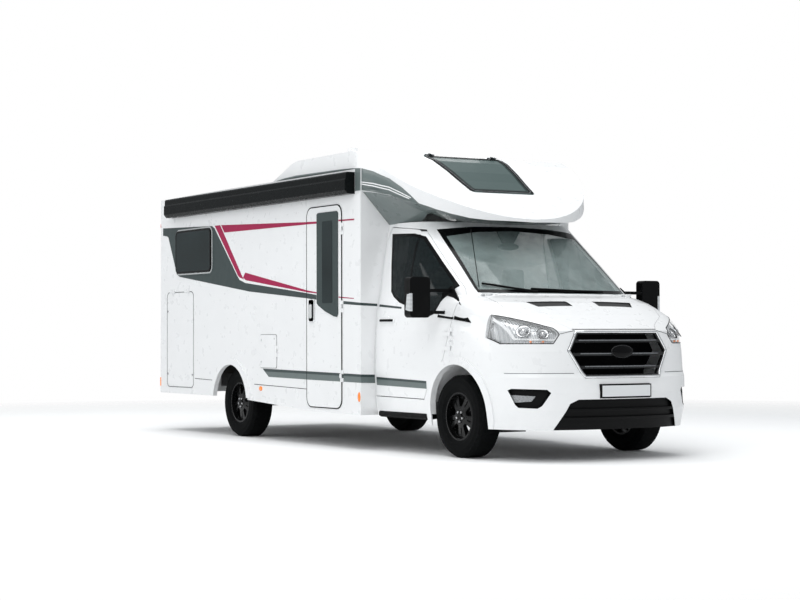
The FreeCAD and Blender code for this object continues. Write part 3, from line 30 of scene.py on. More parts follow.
bl_info = {
    "name": "Motorhome looks",
    "version": (1, 0, 0),
    "blender": (4, 5, 0),
    "location": "View3D > Sidebar > Motorhome",
    "description": "Dresses the packed motorhome frame and sets its studio",
    "category": "Object",
}

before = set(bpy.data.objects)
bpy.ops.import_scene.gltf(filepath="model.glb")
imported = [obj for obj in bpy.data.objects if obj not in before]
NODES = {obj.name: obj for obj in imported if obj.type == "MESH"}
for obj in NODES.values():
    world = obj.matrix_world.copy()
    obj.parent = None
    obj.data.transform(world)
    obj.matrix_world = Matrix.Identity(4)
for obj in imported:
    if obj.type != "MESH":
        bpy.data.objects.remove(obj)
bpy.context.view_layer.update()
SIDES = (("right", -1), ("left", 1))
ROOT = "motorhome"

WALL = 1.165            # half width of the coach body
WALL_RETURN = 1.078     # front face of the walls beside the cab
DOOR_PROUD = 0.006      # the entrance door stands out this far
SKIN = 0.0012           # thickness of a flat film
NOSE_START = 0.9        # where the raised roof's plan starts to close in
NOSE_LONG = 1.213       # from there to its foremost point
WHEEL_UP = 0.350        # height of the wheels' centres
FAR = 5.0               # films are cast onto the CAD from this distance
GRAZING = 0.12          # and left out where they meet it flatter than this


class MotorhomeSettings(bpy.types.PropertyGroup):
    """The colours and thicknesses that a user may change"""
    paint: FloatVectorProperty(name="Paint", description="White of the body panels",
                               subtype="COLOR", size=3, default=(0.83, 0.84, 0.845))
    slate: FloatVectorProperty(name="Slate", description="Dark film of the wide bands",
                               subtype="COLOR", size=3, default=(0.034, 0.050, 0.050))
    # The grey also colours the painted shade under the overcab cap.
    grey: FloatVectorProperty(name="Grey", description="Film of the low bands and the nose",
                              subtype="COLOR", size=3, default=(0.125, 0.155, 0.152))
    crimson: FloatVectorProperty(name="Crimson", description="Film of the thin stripes",
                                 subtype="COLOR", size=3, default=(0.34, 0.006, 0.062))
    decal_stand: FloatProperty(name="Decal stand", description="Gap between film and panel",
                               unit="LENGTH", default=0.0012)
    decal_cell: FloatProperty(name="Decal cell", description="Longest cell of a curved film",
                              unit="LENGTH", default=0.03)
    bevel: FloatProperty(name="Bevel", description="Width of the larger softened edges",
                         unit="LENGTH", default=0.004)
    render_levels: IntProperty(name="Render levels", description="Subdivisions of a cushion",
                               default=2)


def settings():
    return bpy.context.scene.motorhome


def pairs(points):
    """Each point of a closed run with the next one."""
    return list(zip(points, points[1:] + points[:1]))


def turning(outline):
    """1 where an outline runs anticlockwise, else -1."""
    return 1 if sum(a[0] * b[1] - b[0] * a[1] for a, b in pairs(outline)) > 0 else -1


# ---- shader maths ----

class Shade:
    """A node tree whose sockets can be added, multiplied and compared."""

    def __init__(self, name, material=None):
        self.material = material or bpy.data.materials.new(name)
        self.material.use_nodes = True
        self.tree = self.material.node_tree
        self.shader = self.tree.nodes["Principled BSDF"]

    def node(self, kind, output=0, inputs=None, **settings):
        made = self.tree.nodes.new(kind)
        for key, value in settings.items():
            setattr(made, key, value)
        for key, value in (inputs or {}).items():
            self.feed(made.inputs[key], value)
        return Value(self, made.outputs[output])

    def feed(self, socket, value):
        if isinstance(value, Value):
            self.tree.links.new(value.socket, socket)
        elif hasattr(value, "__len__") and len(value) == 3 and socket.type == "RGBA":
            socket.default_value = (*value, 1)
        else:
            socket.default_value = value

    def maths(self, operation, *values):
        return self.node("ShaderNodeMath", operation=operation,
                         inputs=dict(enumerate(values)))

    def place(self):
        """Object coordinates, as three values."""
        spot = self.node("ShaderNodeTexCoord", output="Object")
        parts = self.node("ShaderNodeSeparateXYZ", inputs={0: spot})
        sockets = parts.socket.node.outputs
        return spot, [Value(self, socket) for socket in sockets]

    def noise(self, scale, detail=3.0, rough=0.5, vector=None):
        inputs = {"Scale": scale, "Detail": detail, "Roughness": rough}
        inputs["Vector"] = vector or self.place()[0]
        return self.node("ShaderNodeTexNoise", output="Fac", inputs=inputs)

    def mix(self, factor, one, two):
        mixed = self.tree.nodes.new("ShaderNodeMix")
        mixed.data_type = "RGBA"
        self.feed(mixed.inputs[0], factor)
        self.feed(mixed.inputs[6], one)
        self.feed(mixed.inputs[7], two)
        return Value(self, mixed.outputs[2])

    def spread(self, value, low, high, new_low, new_high):
        return self.node("ShaderNodeMapRange", inputs={
            0: value, 1: low, 2: high, 3: new_low, 4: new_high})

    def vary(self, low, high, *noise):
        """A value that drifts between two, over a noise."""
        return self.spread(self.noise(*noise), 0.3, 0.7, low, high)

    def inside(self, outline, first, second):
        """1 within a convex outline of two coordinates, else 0."""
        mask = None
        for (a0, a1), (b0, b1) in pairs(outline):
            length = math.hypot(b0 - a0, b1 - a1) * turning(outline)
            within = ((second - a1) * ((b0 - a0) / length)
                      - (first - a0) * ((b1 - a1) / length)) > -0.0008
            mask = within if mask is None else mask * within
        return mask

    def up(self):
        """How far a face looks up, from -1 to 1."""
        normal = self.node("ShaderNodeNewGeometry", output="Normal")
        return self.node("ShaderNodeSeparateXYZ", output="Z", inputs={0: normal})

    def ribs(self, value, count):
        """Ridges along a value: 0 at their middles, 0.5 between them."""
        return ((value * count).fract() - 0.5).abs()

    def present(self, name):
        """What an input of the shader holds so far."""
        socket = self.shader.inputs[name]
        return Value(self, socket.links[0].from_socket) if socket.links else socket.default_value

    def bump(self, height, strength, distance=0.001):
        return self.node("ShaderNodeBump", output="Normal", inputs={
            "Height": height, "Strength": strength, "Distance": distance})

    def finish(self, **inputs):
        for name, value in inputs.items():
            self.feed(self.shader.inputs[name.replace("_", " ")], value)
        return self.material


class Value:
    """A socket that takes part in sums and comparisons."""

    def __init__(self, shade, socket):
        self.shade = shade
        self.socket = socket

    def __add__(self, other):
        return self.shade.maths("ADD", self, other)

    __radd__ = __add__

    def __sub__(self, other):
        return self.shade.maths("SUBTRACT", self, other)

    def __rsub__(self, other):
        return self.shade.maths("SUBTRACT", other, self)

    def __mul__(self, other):
        return self.shade.maths("MULTIPLY", self, other)

    __rmul__ = __mul__

    def __gt__(self, other):
        return self.shade.maths("GREATER_THAN", self, other)

    def __lt__(self, other):
        return self.shade.maths("LESS_THAN", self, other)

    def abs(self):
        return self.shade.maths("ABSOLUTE", self)

    def fract(self):
        return self.shade.maths("FRACT", self)


def tone(shade, colour, spread=0.03, scale=7.0):
    """A colour that drifts a little over the surface."""
    drift = shade.vary(0.0, 1.0, scale)
    dark = [channel * (1 - spread) for channel in colour]
    bright = [min(1.0, channel * (1 + spread)) for channel in colour]
    return shade.mix(drift, dark, bright)


def paint(name, colour, rough=0.3, coat=0.6, dust=0.03, gloss=0.5):
    """Coated paint or film, with some road dust low down."""
    shade = Shade(name)
    spot, (_, _, z) = shade.place()
    wave = shade.noise(1.3, 1.0, vector=spot)
    low = shade.spread(z, 0.25, 0.95, 1.0, 0.0)
    dirt = low * shade.spread(shade.noise(3.5, 6.0, 0.65), 0.35, 0.75, 0.0, 1.0)
    clean = tone(shade, colour, 0.012, 2.2)
    dusty = [channel * 0.86 for channel in colour]
    return shade.finish(
        Base_Color=shade.mix(dirt * dust * 10.0, clean, dusty),
        Roughness=shade.vary(rough * 0.85, rough * 1.2, 11.0, 4.0),
        Coat_Weight=coat, Coat_Roughness=0.04, Specular_IOR_Level=gloss,
        Normal=shade.bump(wave, 0.05, 0.004))


def plastic(name, colour, rough=0.5, grain=900.0, depth=0.12, gloss=0.3):
    """Moulded plastic with a fine grain."""
    shade = Shade(name)
    spot = shade.place()[0]
    pores = shade.node("ShaderNodeTexVoronoi", output="Distance",
                       inputs={"Vector": spot, "Scale": grain})
    return shade.finish(
        Base_Color=tone(shade, colour, 0.12, 18.0),
        Roughness=shade.vary(rough * 0.8, rough * 1.15, 25.0, 3.0),
        Specular_IOR_Level=gloss, Normal=shade.bump(pores, depth, 0.0004))


def metal(name, colour, rough=0.25, wear=0.1, metallic=1.0):
    """Bare or plated metal with uneven wear."""
    shade = Shade(name)
    return shade.finish(
        Base_Color=tone(shade, colour, wear, 30.0), Metallic=metallic,
        Roughness=shade.vary(rough * 0.7, rough * 1.4, 60.0, 5.0),
        Normal=shade.bump(shade.noise(900.0), 0.03))


def steel(name, colour):
    """Painted steel under the body, with road dust low down."""
    shade = Shade(name)
    dust = shade.spread(shade.noise(9.0, 6.0, 0.7), 0.45, 0.7, 0.0, 1.0)
    dusty = [channel * 1.9 + 0.015 for channel in colour]
    return shade.finish(
        Base_Color=shade.mix(dust, colour, dusty), Metallic=0.35,
        Roughness=shade.spread(dust, 0.0, 1.0, 0.45, 0.85),
        Normal=shade.bump(shade.noise(140.0, 4.0), 0.15))


def rubber(name, colour):
    """Matt rubber, scuffed paler in places."""
    shade = Shade(name)
    spot = shade.place()[0]
    scuff = shade.noise(45.0, 6.0, 0.7, vector=spot)
    return shade.finish(
        Base_Color=shade.mix(shade.spread(scuff, 0.45, 0.75, 0.0, 1.0), colour,
                             [channel * 1.8 + 0.004 for channel in colour]),
        Roughness=shade.spread(scuff, 0.3, 0.7, 0.62, 0.85), Specular_IOR_Level=0.06,
        Normal=shade.bump(shade.noise(260.0, 3.0, vector=spot), 0.1))


def cloth(name, colour, trim):
    """A woven seat cloth with paler threads."""
    shade = Shade(name)
    x, y, z = shade.place()[1]
    weave = shade.maths("MAXIMUM", shade.ribs(y, 420.0), shade.ribs(x + z, 420.0))
    return shade.finish(
        Base_Color=shade.mix(weave, tone(shade, colour, 0.08, 14.0), trim),
        Roughness=shade.spread(weave, 0.0, 0.5, 0.95, 0.8), Sheen_Weight=0.35,
        Normal=shade.bump(weave, 0.25))


def lamp_glow(name, colour, strength):
    """A ribbed coloured lens with a faint light of its own."""
    shade = Shade(name)
    ribs = shade.ribs(shade.place()[1][2], 140.0)
    return shade.finish(
        Base_Color=tone(shade, colour, 0.1, 40.0), Roughness=0.12, Coat_Weight=0.7,
        Emission_Color=shade.mix(ribs, [c * 0.4 for c in colour], colour),
        Emission_Strength=strength, Normal=shade.bump(ribs, 0.15))


def lens(name, colour, alpha, gloss=0.5, coat=1.0):
    """A thin clear cover that shows what lies behind it."""
    shade = Shade(name)
    return shade.finish(Base_Color=tone(shade, colour, 0.05, 20.0), Roughness=0.03,
                        Alpha=shade.vary(alpha * 0.8, alpha * 1.2, 8.0),
                        Specular_IOR_Level=gloss, Coat_Weight=coat, Coat_Roughness=0.02)


def lamp_covers():
    """Clear covers in front; red ones with an amber part behind."""
    shade = Shade("lamp_covers")
    x, _, z = shade.place()[1]
    behind = x < 0.0
    ribs = shade.ribs(z, 140.0) * 2.0
    amber = (z > 0.965) * behind
    red = shade.mix(ribs, (0.30, 0.006, 0.008), (0.52, 0.014, 0.014))
    glow = shade.mix(amber, red, (0.80, 0.20, 0.02))
    return shade.finish(
        Base_Color=shade.mix(behind, (0.9, 0.92, 0.93), glow), Roughness=0.05,
        Alpha=behind * 0.83 + 0.16, Coat_Weight=1.0, Coat_Roughness=0.02,
        Emission_Color=shade.mix(behind, (0.0, 0.0, 0.0), glow), Emission_Strength=0.12)


def reflector(name):
    """Pressed bright metal with fine ribs."""
    shade = Shade(name)
    ribs = shade.ribs(shade.place()[1][1], 60.0)
    return shade.finish(Base_Color=shade.mix(ribs, (0.62, 0.64, 0.65), (0.9, 0.91, 0.92)),
                        Metallic=0.85, Roughness=shade.spread(ribs, 0.0, 0.5, 0.2, 0.34),
                        Normal=shade.bump(ribs, 0.25, 0.004))


def pocketed(material, outlines, axes, face=None):
    """Black inside convex outlines of two coordinates; one more outline is left pale."""
    shade = Shade("", material)
    x, y, z = shade.place()[1]
    values = {"x": x, "y": y.abs(), "z": z}
    first, second = (values[axis] for axis in axes)
    mask = None
    for outline in outlines:
        found = shade.inside(outline, first, second)
        mask = found if mask is None else shade.maths("MAXIMUM", mask, found)
    mask = mask * (x > 2.5)
    painted = shade.mix(mask, shade.present("Base Color"), (0.002, 0.0022, 0.0024))
    if face:
        pale = shade.inside(face, first, second) * (x > 3.4)
        painted = shade.mix(pale, painted, (0.72, 0.74, 0.75))
    clean = 1.0 - mask
    return shade.finish(Base_Color=painted,
                        Roughness=mask * 0.45 + clean * shade.present("Roughness"),
                        Coat_Weight=clean * shade.present("Coat Weight"))


MATERIALS = {}      # every look, under its short name


def make_materials():
    """Fill MATERIALS with every look, under its short name."""
    white, slate, grey, crimson = (tuple(getattr(settings(), name))
                                   for name in ("paint", "slate", "grey", "crimson"))
    MATERIALS.update({
        "white": paint("white_paint", white),
        # The cap's down-facing faces are painted grey as shade.
        "cap": cap_paint_with_painted_shade(white, grey),
        "slate": paint("slate_film", slate, 0.38, 0.08, 0.01, 0.25),
        "grey": paint("grey_film", grey, 0.38, 0.12, 0.01, 0.3),
        "light_grey": paint("pale_line", (0.55, 0.57, 0.57), 0.4, 0.2, 0.0),
        "crimson": paint("crimson_film", crimson, 0.36, 0.05, 0.0, 0.2),
        "line": paint("joint_line", (0.13, 0.14, 0.14), 0.5, 0.0, 0.0, 0.2),
        "white_film": paint("white_film", white, 0.35, 0.2, 0.0),
        "bumper": paint("bumper_plastic", white, 0.34, 0.35, 0.05),
        "front_bumper": pocketed(paint("front_bumper_plastic", white, 0.34, 0.35, 0.05, 0.12),
                                 (FOG_POCKET, INTAKE, PLATE_EDGE), "yz", PLATE_FACE),
        "hood": pocketed(paint("hood_paint", white), (HOOD_SLOT,), "xy"),
        "anthracite": plastic("anthracite_case", (0.005, 0.0062, 0.0064), 0.3, 600.0, 0.02, 0.06),
        "black": plastic("black_plastic", (0.0022, 0.0024, 0.0026), 0.5, gloss=0.08),
        "mirror": mirror_shell(),
        "gloss_black": plastic("gloss_black", (0.002, 0.002, 0.0024), 0.14, 400.0, 0.01, 0.12),
        "grille": plastic("grille_plastic", (0.010, 0.0108, 0.0115), 0.3, 700.0, 0.04, 0.35),
        # A near-black sheet for the painted shade behind the grille.
        "void": rubber("painted_shade_sheet", (0.0008, 0.0008, 0.001)),
        "seal": rubber("rubber_seal", (0.008, 0.008, 0.008)),
        "tyre": rubber("tyre_rubber", (0.0022, 0.0026, 0.0028)),
        "rim": plastic("rim_paint", (0.003, 0.0032, 0.0034), 0.26, 300.0, 0.02, 0.2),
        "chrome": metal("chrome", (0.78, 0.79, 0.8), 0.09, 0.03),
        "bright": metal("bright_steel", (0.62, 0.62, 0.63), 0.25, 0.08),
        "steel": steel("dark_steel", (0.011, 0.011, 0.012)),
        "engine": metal("cast_metal", (0.14, 0.14, 0.145), 0.6, 0.25, 0.7),
        "board": plastic("floor_board", (0.035, 0.033, 0.031), 0.7, 120.0, 0.2),
        "dash": plastic("dash_plastic", (0.06, 0.062, 0.064), 0.6, 700.0, 0.2),
        "screen": lens("screen_glass", (0.34, 0.43, 0.42), 0.32, 0.4, 0.4),
        "side_glass": lens("side_glass", (0.007, 0.012, 0.013), 0.80, 0.12, 0.08),
        "dark_glass": dark_glass(),
        "lamp_glass": lens("lamp_glass", (0.9, 0.92, 0.93), 0.16),
        "lamp_covers": lamp_covers(),
        "reflector": reflector("lamp_reflector"),
        "orange": lamp_glow("orange_lens", (0.85, 0.22, 0.02), 0.25),
        "red": lamp_glow("red_lens", (0.55, 0.012, 0.012), 0.15),
        "seat": cloth("seat_cloth", (0.36, 0.35, 0.33), (0.6, 0.59, 0.56)),
        "bar_grey": metal("bar_grey", (0.20, 0.21, 0.22), 0.3, 0.08, 0.4),
    })


def cap_paint_with_painted_shade(white, grey):
    """White paint with painted shade: its down-facing faces are grey."""
    shade = Shade("", paint("cap_paint_with_painted_shade", white))
    # Painted shade: faces that look down take the grey.
    return shade.finish(Base_Color=shade.mix(shade.up() < -0.12, shade.present("Base Color"),
                                             grey))


def dark_glass():
    """Tinted plastic with a painted sky reflection: paler where it faces up."""
    shade = Shade("dark_glass")
    # Painted sky reflection: faces that look up take the paler colour.
    return shade.finish(Base_Color=shade.mix(shade.spread(shade.up(), 0.2, 0.9, 0.0, 1.0),
                                             tone(shade, (0.012, 0.020, 0.021), 0.3, 2.0),
                                             (0.055, 0.085, 0.082)),
                        Roughness=shade.vary(0.30, 0.38, 4.0),
                        Specular_IOR_Level=0.16)


def mirror_shell():
    """Black plastic with a clear lamp in the head's outer front corner."""
    shade = Shade("", plastic("mirror_plastic", (0.0022, 0.0024, 0.0026), 0.45, gloss=0.1))
    x, y, z = shade.place()[1]
    lamp = [(2.150, 1.250), (2.240, 1.236), (2.240, 1.392), (2.172, 1.380)]
    mask = shade.inside(lamp, x, z) * (y.abs() > 1.326)
    clear = shade.mix(shade.ribs(z, 90.0) * 2.0, (0.20, 0.22, 0.23), (0.85, 0.87, 0.88))
    return shade.finish(Base_Color=shade.mix(mask, shade.present("Base Color"), clear))


# ---- pieces ----

def added(name, data):
    """A new object of some data, in the scene."""
    made = bpy.data.objects.new(name, data)
    bpy.context.scene.collection.objects.link(made)
    return made


def link(name, mesh, material, body=ROOT):
    """A piece of a mesh, with its look, that rides a body."""
    piece = added(name, mesh)
    piece.data.materials.append(MATERIALS[material])
    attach(piece, body)
    return piece


def to_mesh(name, shape):
    """A mesh of a bmesh, which is freed."""
    mesh = bpy.data.meshes.new(name)
    shape.to_mesh(mesh)
    shape.free()
    return mesh


def from_bmesh(name, shape, material, body=ROOT, smooth=False, bevel=0.0):
    """A piece of a bmesh; a bevel's width softens its edges."""
    bmesh.ops.recalc_face_normals(shape, faces=shape.faces)
    for face in shape.faces:
        face.smooth = smooth
    piece = link(name, to_mesh(name, shape), material, body)
    if bevel:
        softened = piece.modifiers.new("bevel", "BEVEL")
        softened.width = bevel
        softened.segments = 2
        softened.limit_method = "ANGLE"
    return piece


def lay(shape, outline, at, level):
    """Points of an outline of two coordinates at a level of the third."""
    ring = []
    for first, second in outline:
        point = [first, second]
        point.insert(at, level)
        ring.append(shape.verts.new(point))
    return ring


def thicken(piece, thickness, offset=-1):
    """Give a sheet a wall; an offset of 0 spreads it to both sides."""
    solid = piece.modifiers.new("thickness", "SOLIDIFY")
    solid.thickness = thickness
    solid.offset = offset


def wall_in(shape, one, two):
    """Faces between two closed rings of points."""
    for (a, b), (c, d) in zip(pairs(one), pairs(two)):
        shape.faces.new([a, b, d, c])


def shut(shape, near, far):
    """A closed form between two rings of points."""
    shape.faces.new(near)
    shape.faces.new(list(reversed(far)))
    wall_in(shape, near, far)


def slab(name, outline, axis, low, high, material, body=ROOT, bevel=0.0):
    """An outline extruded along an axis; its points are the other two coordinates in order."""
    shape = bmesh.new()
    near, far = (lay(shape, outline, "xyz".index(axis), level) for level in (low, high))
    shut(shape, near, far)
    return from_bmesh(name, shape, material, body, bevel=bevel)


def rounded(low, high, radius, steps=6):
    """A rectangle's outline with round corners."""
    points = []
    corners = ((high[0], high[1], 0), (low[0], high[1], 1), (low[0], low[1], 2),
               (high[0], low[1], 3))
    for x, y, quarter in corners:
        cx = x - radius if x == high[0] else x + radius
        cy = y - radius if y == high[1] else y + radius
        for step in range(steps + 1):
            turn = math.pi / 2 * (quarter + step / steps)
            points.append((cx + radius * math.cos(turn), cy + radius * math.sin(turn)))
    return points


def on_wall(name, outline, side, near, far, material, body=ROOT, bevel=0.0):
    """A slab on a side wall, between two distances from the wall's face."""
    slab(name, outline, "y", (WALL + near) * side, (WALL + far) * side, material, body, bevel)


def wall_frame(name, low, high, radius, width, side, near, far, material, body=ROOT, bevel=0.0):
    """A rounded frame on a side wall: an outline with the same outline set in by its width."""
    outer = rounded(low, high, radius)
    inner = rounded((low[0] + width, low[1] + width), (high[0] - width, high[1] - width),
                    max(radius - width, 0.002))
    shape = bmesh.new()
    rings = [lay(shape, outline, 1, (WALL + stand) * side)
             for outline in (outer, inner) for stand in (near, far)]
    for one, two in pairs([rings[0], rings[1], rings[3], rings[2]]):
        wall_in(shape, one, two)
    from_bmesh(name, shape, material, body, bevel=bevel)


def tube(name, points, radius, material, body=ROOT, closed=False):
    """A round bar along points."""
    curve = bpy.data.curves.new(name, "CURVE")
    curve.dimensions = "3D"
    curve.bevel_depth = radius
    curve.bevel_resolution = 2
    curve.use_fill_caps = True
    spline = curve.splines.new("POLY")
    spline.points.add(len(points) - 1)
    for spot, point in zip(spline.points, points):
        spot.co = (*point, 1)
    spline.use_cyclic_u = closed
    carrier = added(name + "_line", curve)
    bpy.context.view_layer.update()
    mesh = bpy.data.meshes.new_from_object(carrier)
    bpy.data.objects.remove(carrier)
    mesh.materials.clear()
    for face in mesh.polygons:
        face.use_smooth = True
    link(name, mesh, material, body)


def leaned(centre, axis):
    """The matrix that stands an upright shape at a point along a direction."""
    lean = Vector((0, 0, 1)).rotation_difference(Vector(axis)).to_matrix().to_4x4()
    return Matrix.Translation(centre) @ lean


def disc(name, centre, axis, radius, depth, material, body=ROOT, sides=32, bevel=0.0):
    """A short round or many-sided boss along a direction."""
    shape = bmesh.new()
    bmesh.ops.create_cone(shape, cap_ends=True, segments=sides, radius1=radius, radius2=radius,
                          depth=depth)
    bmesh.ops.transform(shape, verts=shape.verts, matrix=leaned(centre, axis))
    from_bmesh(name, shape, material, body, bevel=bevel)


def pod(name, centre, radii, material, body=ROOT):
    """An ellipsoid."""
    shape = bmesh.new()
    bmesh.ops.create_icosphere(shape, subdivisions=3, radius=1.0)
    bmesh.ops.scale(shape, vec=radii, verts=shape.verts)
    bmesh.ops.translate(shape, vec=centre, verts=shape.verts)
    from_bmesh(name, shape, material, body, True)


_trees = {}


def tree(*names):
    """A search tree of one or more CAD nodes."""
    if names not in _trees:
        points, faces = [], []
        for name in names:
            mesh = NODES[name].data
            start = len(points)
            points.extend(v.co.copy() for v in mesh.vertices)
            faces.extend([start + i for i in face.vertices] for face in mesh.polygons)
        _trees[names] = BVHTree.FromPolygons(points, faces)
    return _trees[names]


def inset(outline, width):
    """An outline moved inwards by a width at every edge."""
    way = turning(outline)
    points = []
    for before, (point, after) in zip(outline[-1:] + outline[:-1], pairs(outline)):
        one = (Vector(point) - Vector(before)).normalized()
        two = (Vector(after) - Vector(point)).normalized()
        first = Vector((-one.y, one.x)) * way
        second = Vector((-two.y, two.x)) * way
        middle = (first + second).normalized()
        points.append(tuple(Vector(point) + middle * (width / max(0.4, middle.dot(first)))))
    return points


def along_axis(at, length):
    """A vector of a length along one axis."""
    way = Vector((0, 0, 0))
    way[at] = length
    return way


def film(name, outline, axis, side, nodes, material, body=ROOT, stand=None, cell=None,
         inner=None):
    """A thin film over a CAD surface: an outline laid on it along an axis, from outside."""
    at = "xyz".index(axis)
    cell = cell or settings().decal_cell
    stand = settings().decal_stand if stand is None else stand
    shape = bmesh.new()
    rim = lay(shape, outline, at, side * FAR)
    if inner:
        wall_in(shape, rim, lay(shape, inner, at, side * FAR))
    else:
        shape.faces.new(rim)
    bmesh.ops.triangulate(shape, faces=shape.faces)
    for i in (i for i in range(3) if i != at):
        lows = min(v.co[i] for v in shape.verts)
        highs = max(v.co[i] for v in shape.verts)
        for step in range(1, max(2, int((highs - lows) / cell))):
            if lows + step * cell < highs:
                bmesh.ops.bisect_plane(shape, geom=[*shape.verts, *shape.edges, *shape.faces],
                                       plane_co=along_axis(i, lows + step * cell),
                                       plane_no=along_axis(i, 1))
    surface = tree(*nodes)
    way = along_axis(at, -side)
    lost = []
    for vertex in shape.verts:
        spot, normal, _, _ = surface.ray_cast(vertex.co, way)
        if spot is None or abs(normal[at]) < GRAZING:
            lost.append(vertex)
            continue
        if normal.dot(way) > 0:
            normal = -normal
        vertex.co = spot + normal * stand
    bmesh.ops.delete(shape, geom=lost, context="VERTS")
    from_bmesh(name, shape, material, body, True)


# ---- side graphics ----

# Rows of a name, a look and an outline in x and z; on a return, in y and z.
WALL_FILMS = (
    ("slate", "slate",
     [(-3.269, 2.222), (-2.019, 2.183), (-1.955, 2.155), (-1.425, 1.645), (-1.37, 1.600),
      (-1.237, 1.566), (-0.900, 1.533), (0.064, 1.437), (0.064, 1.388), (-1.151, 1.478),
      (-2.820, 1.672), (-2.900, 1.700), (-3.125, 2.113), (-3.160, 2.128), (-3.269, 2.141)]),
    ("slate_tail", "slate", [(0.745, 1.352), (1.078, 1.330), (1.078, 1.306), (0.745, 1.324)]),
    ("slant", "crimson", [(-1.953, 2.183), (-1.820, 2.182), (-1.309, 1.634), (-1.268, 1.604),
                          (-1.372, 1.626), (-1.400, 1.641)]),
    ("top_stripe", "crimson", [(-1.798, 2.181), (0.064, 2.112), (0.064, 2.089), (-1.722, 2.100)]),
    ("top_end", "crimson", [(0.745, 2.098), (0.968, 2.095), (0.960, 2.081), (0.745, 2.085)]),
    ("low_stripe", "crimson", [(-1.290, 1.625), (-1.240, 1.672), (0.064, 1.464), (0.064, 1.446),
                               (-1.235, 1.595)]),
    ("low_end", "crimson", [(0.745, 1.388), (0.960, 1.374), (0.950, 1.368), (0.745, 1.378)]),
    ("band_dark", "slate", [(-0.857, 0.708), (0.064, 0.697), (0.064, 0.672), (-0.812, 0.680)]),
    ("band_grey", "grey", [(-0.812, 0.680), (0.064, 0.672), (0.064, 0.618), (-0.725, 0.628)]),
    ("band_dark_end", "slate", [(0.745, 0.689), (1.078, 0.684), (1.078, 0.661), (0.745, 0.665)]),
    ("band_grey_end", "grey", [(0.745, 0.665), (1.078, 0.661), (1.078, 0.608), (0.745, 0.612)]),
)
DOOR_FILMS = (
    ("slate_door", "slate", [(0.074, 1.436), (0.262, 1.416), (0.262, 1.371), (0.074, 1.387)]),
    ("top_door_a", "crimson", [(0.074, 2.112), (0.272, 2.106), (0.272, 2.086), (0.074, 2.089)]),
    ("top_door_b", "crimson", [(0.684, 2.100), (0.732, 2.099), (0.732, 2.085), (0.684, 2.086)]),
    ("low_door_a", "crimson", [(0.074, 1.463), (0.267, 1.442), (0.267, 1.430), (0.074, 1.445)]),
    ("low_door_b", "crimson", [(0.686, 1.394), (0.732, 1.389), (0.732, 1.380), (0.686, 1.383)]),
    ("band_dark_door", "slate", [(0.074, 0.697), (0.732, 0.689), (0.732, 0.665), (0.074, 0.672)]),
    ("band_grey_door", "grey", [(0.074, 0.672), (0.732, 0.665), (0.732, 0.612), (0.074, 0.618)]),
)
RETURN_FILMS = (
    ("return_belt", "slate", [(1.165, 1.330), (0.992, 1.322), (0.992, 1.300), (1.165, 1.306)]),
    ("return_dark", "slate", [(1.165, 0.684), (0.992, 0.680), (0.992, 0.657), (1.165, 0.661)]),
    ("return_grey", "grey", [(1.165, 0.661), (0.992, 0.657), (0.992, 0.604), (1.165, 0.608)]),
)
CAB_FILMS = (
    ("cab_band_dark", "slate", [(1.112, 0.661), (1.995, 0.640), (1.990, 0.620), (1.112, 0.640)]),
    ("cab_band_grey", "grey", [(1.112, 0.640), (1.990, 0.620), (1.955, 0.574), (1.112, 0.588)]),
    ("belt_line", "slate", [(1.112, 1.316), (1.50, 1.287), (1.50, 1.270), (1.112, 1.295)]),
)


def add_graphics():
    """The stripes and bands of both sides; the right side's door carries its own."""
    for word, side in SIDES:
        lift, leaf = (DOOR_PROUD, "entrance_door") if side < 0 else (0.0, ROOT)
        for films, stand, body in ((WALL_FILMS, 0.0, ROOT), (DOOR_FILMS, lift, leaf)):
            for name, look, outline in films:
                on_wall(f"{name}_{word}", outline, side, stand, stand + SKIN, look, body)
        for name, look, outline in RETURN_FILMS:
            slab(f"{name}_{word}", flip(outline, side), "x", WALL_RETURN,
                 WALL_RETURN + SKIN, look)
        door = "cab_door_" + word
        for name, look, outline in CAB_FILMS:
            film(f"{name}_{word}", outline, "y", side, [door], look, door)


def nose_y(x):
    """Half width of the raised roof's plan at x."""
    share = min(1.0, max(0.0, x - NOSE_START) / NOSE_LONG)
    return WALL * math.sqrt(1 - share * share)


def along(points, x):
    """Height of a run of (x, z) points at x."""
    for (x0, z0), (x1, z1) in zip(points, points[1:]):
        if x0 <= x <= x1:
            return z0 + (z1 - z0) * (x - x0) / (x1 - x0)
    return points[0][1] if x < points[0][0] else points[-1][1]


BAND_TOP = [(-0.560, 2.547), (-0.400, 2.562), (-0.150, 2.571), (0.700, 2.563), (0.926, 2.556),
            (1.074, 2.545), (1.227, 2.508), (1.409, 2.430), (1.523, 2.347), (1.596, 2.274),
            (1.663, 2.196)]
BAND_LOW = [(-0.560, 2.5455), (1.075, 2.5455)]
BAND_LIP = [(1.080, 2.343), (1.226, 2.322), (1.409, 2.285), (1.593, 2.219), (1.663, 2.194)]
LINE_ONE = [(0.985, 2.425), (1.080, 2.424), (1.226, 2.402), (1.409, 2.357), (1.50, 2.312),
            (1.60, 2.255)]
LINE_TWO = [(1.080, 2.405), (1.226, 2.380), (1.409, 2.334), (1.50, 2.290), (1.586, 2.248)]


def nose_strip(name, top, low, span, side, material, stand=0.0013, steps=48):
    """A film round the nose between two height curves."""
    shape = bmesh.new()
    rows = []
    for step in range(steps + 1):
        x = span[0] + (span[1] - span[0]) * step / steps
        y = nose_y(x)
        slope = Vector((max(0.0, x - NOSE_START) / NOSE_LONG ** 2, y / WALL ** 2, 0)).normalized()
        rows.append([shape.verts.new((x + slope.x * stand, (y + slope.y * stand) * side, z))
                     for z in (along(top, x), along(low, x))])
    for one, two in zip(rows, rows[1:]):
        shape.faces.new([one[0], one[1], two[1], two[0]])
    thicken(from_bmesh(name, shape, material, ROOT, True), 0.0006, 0)


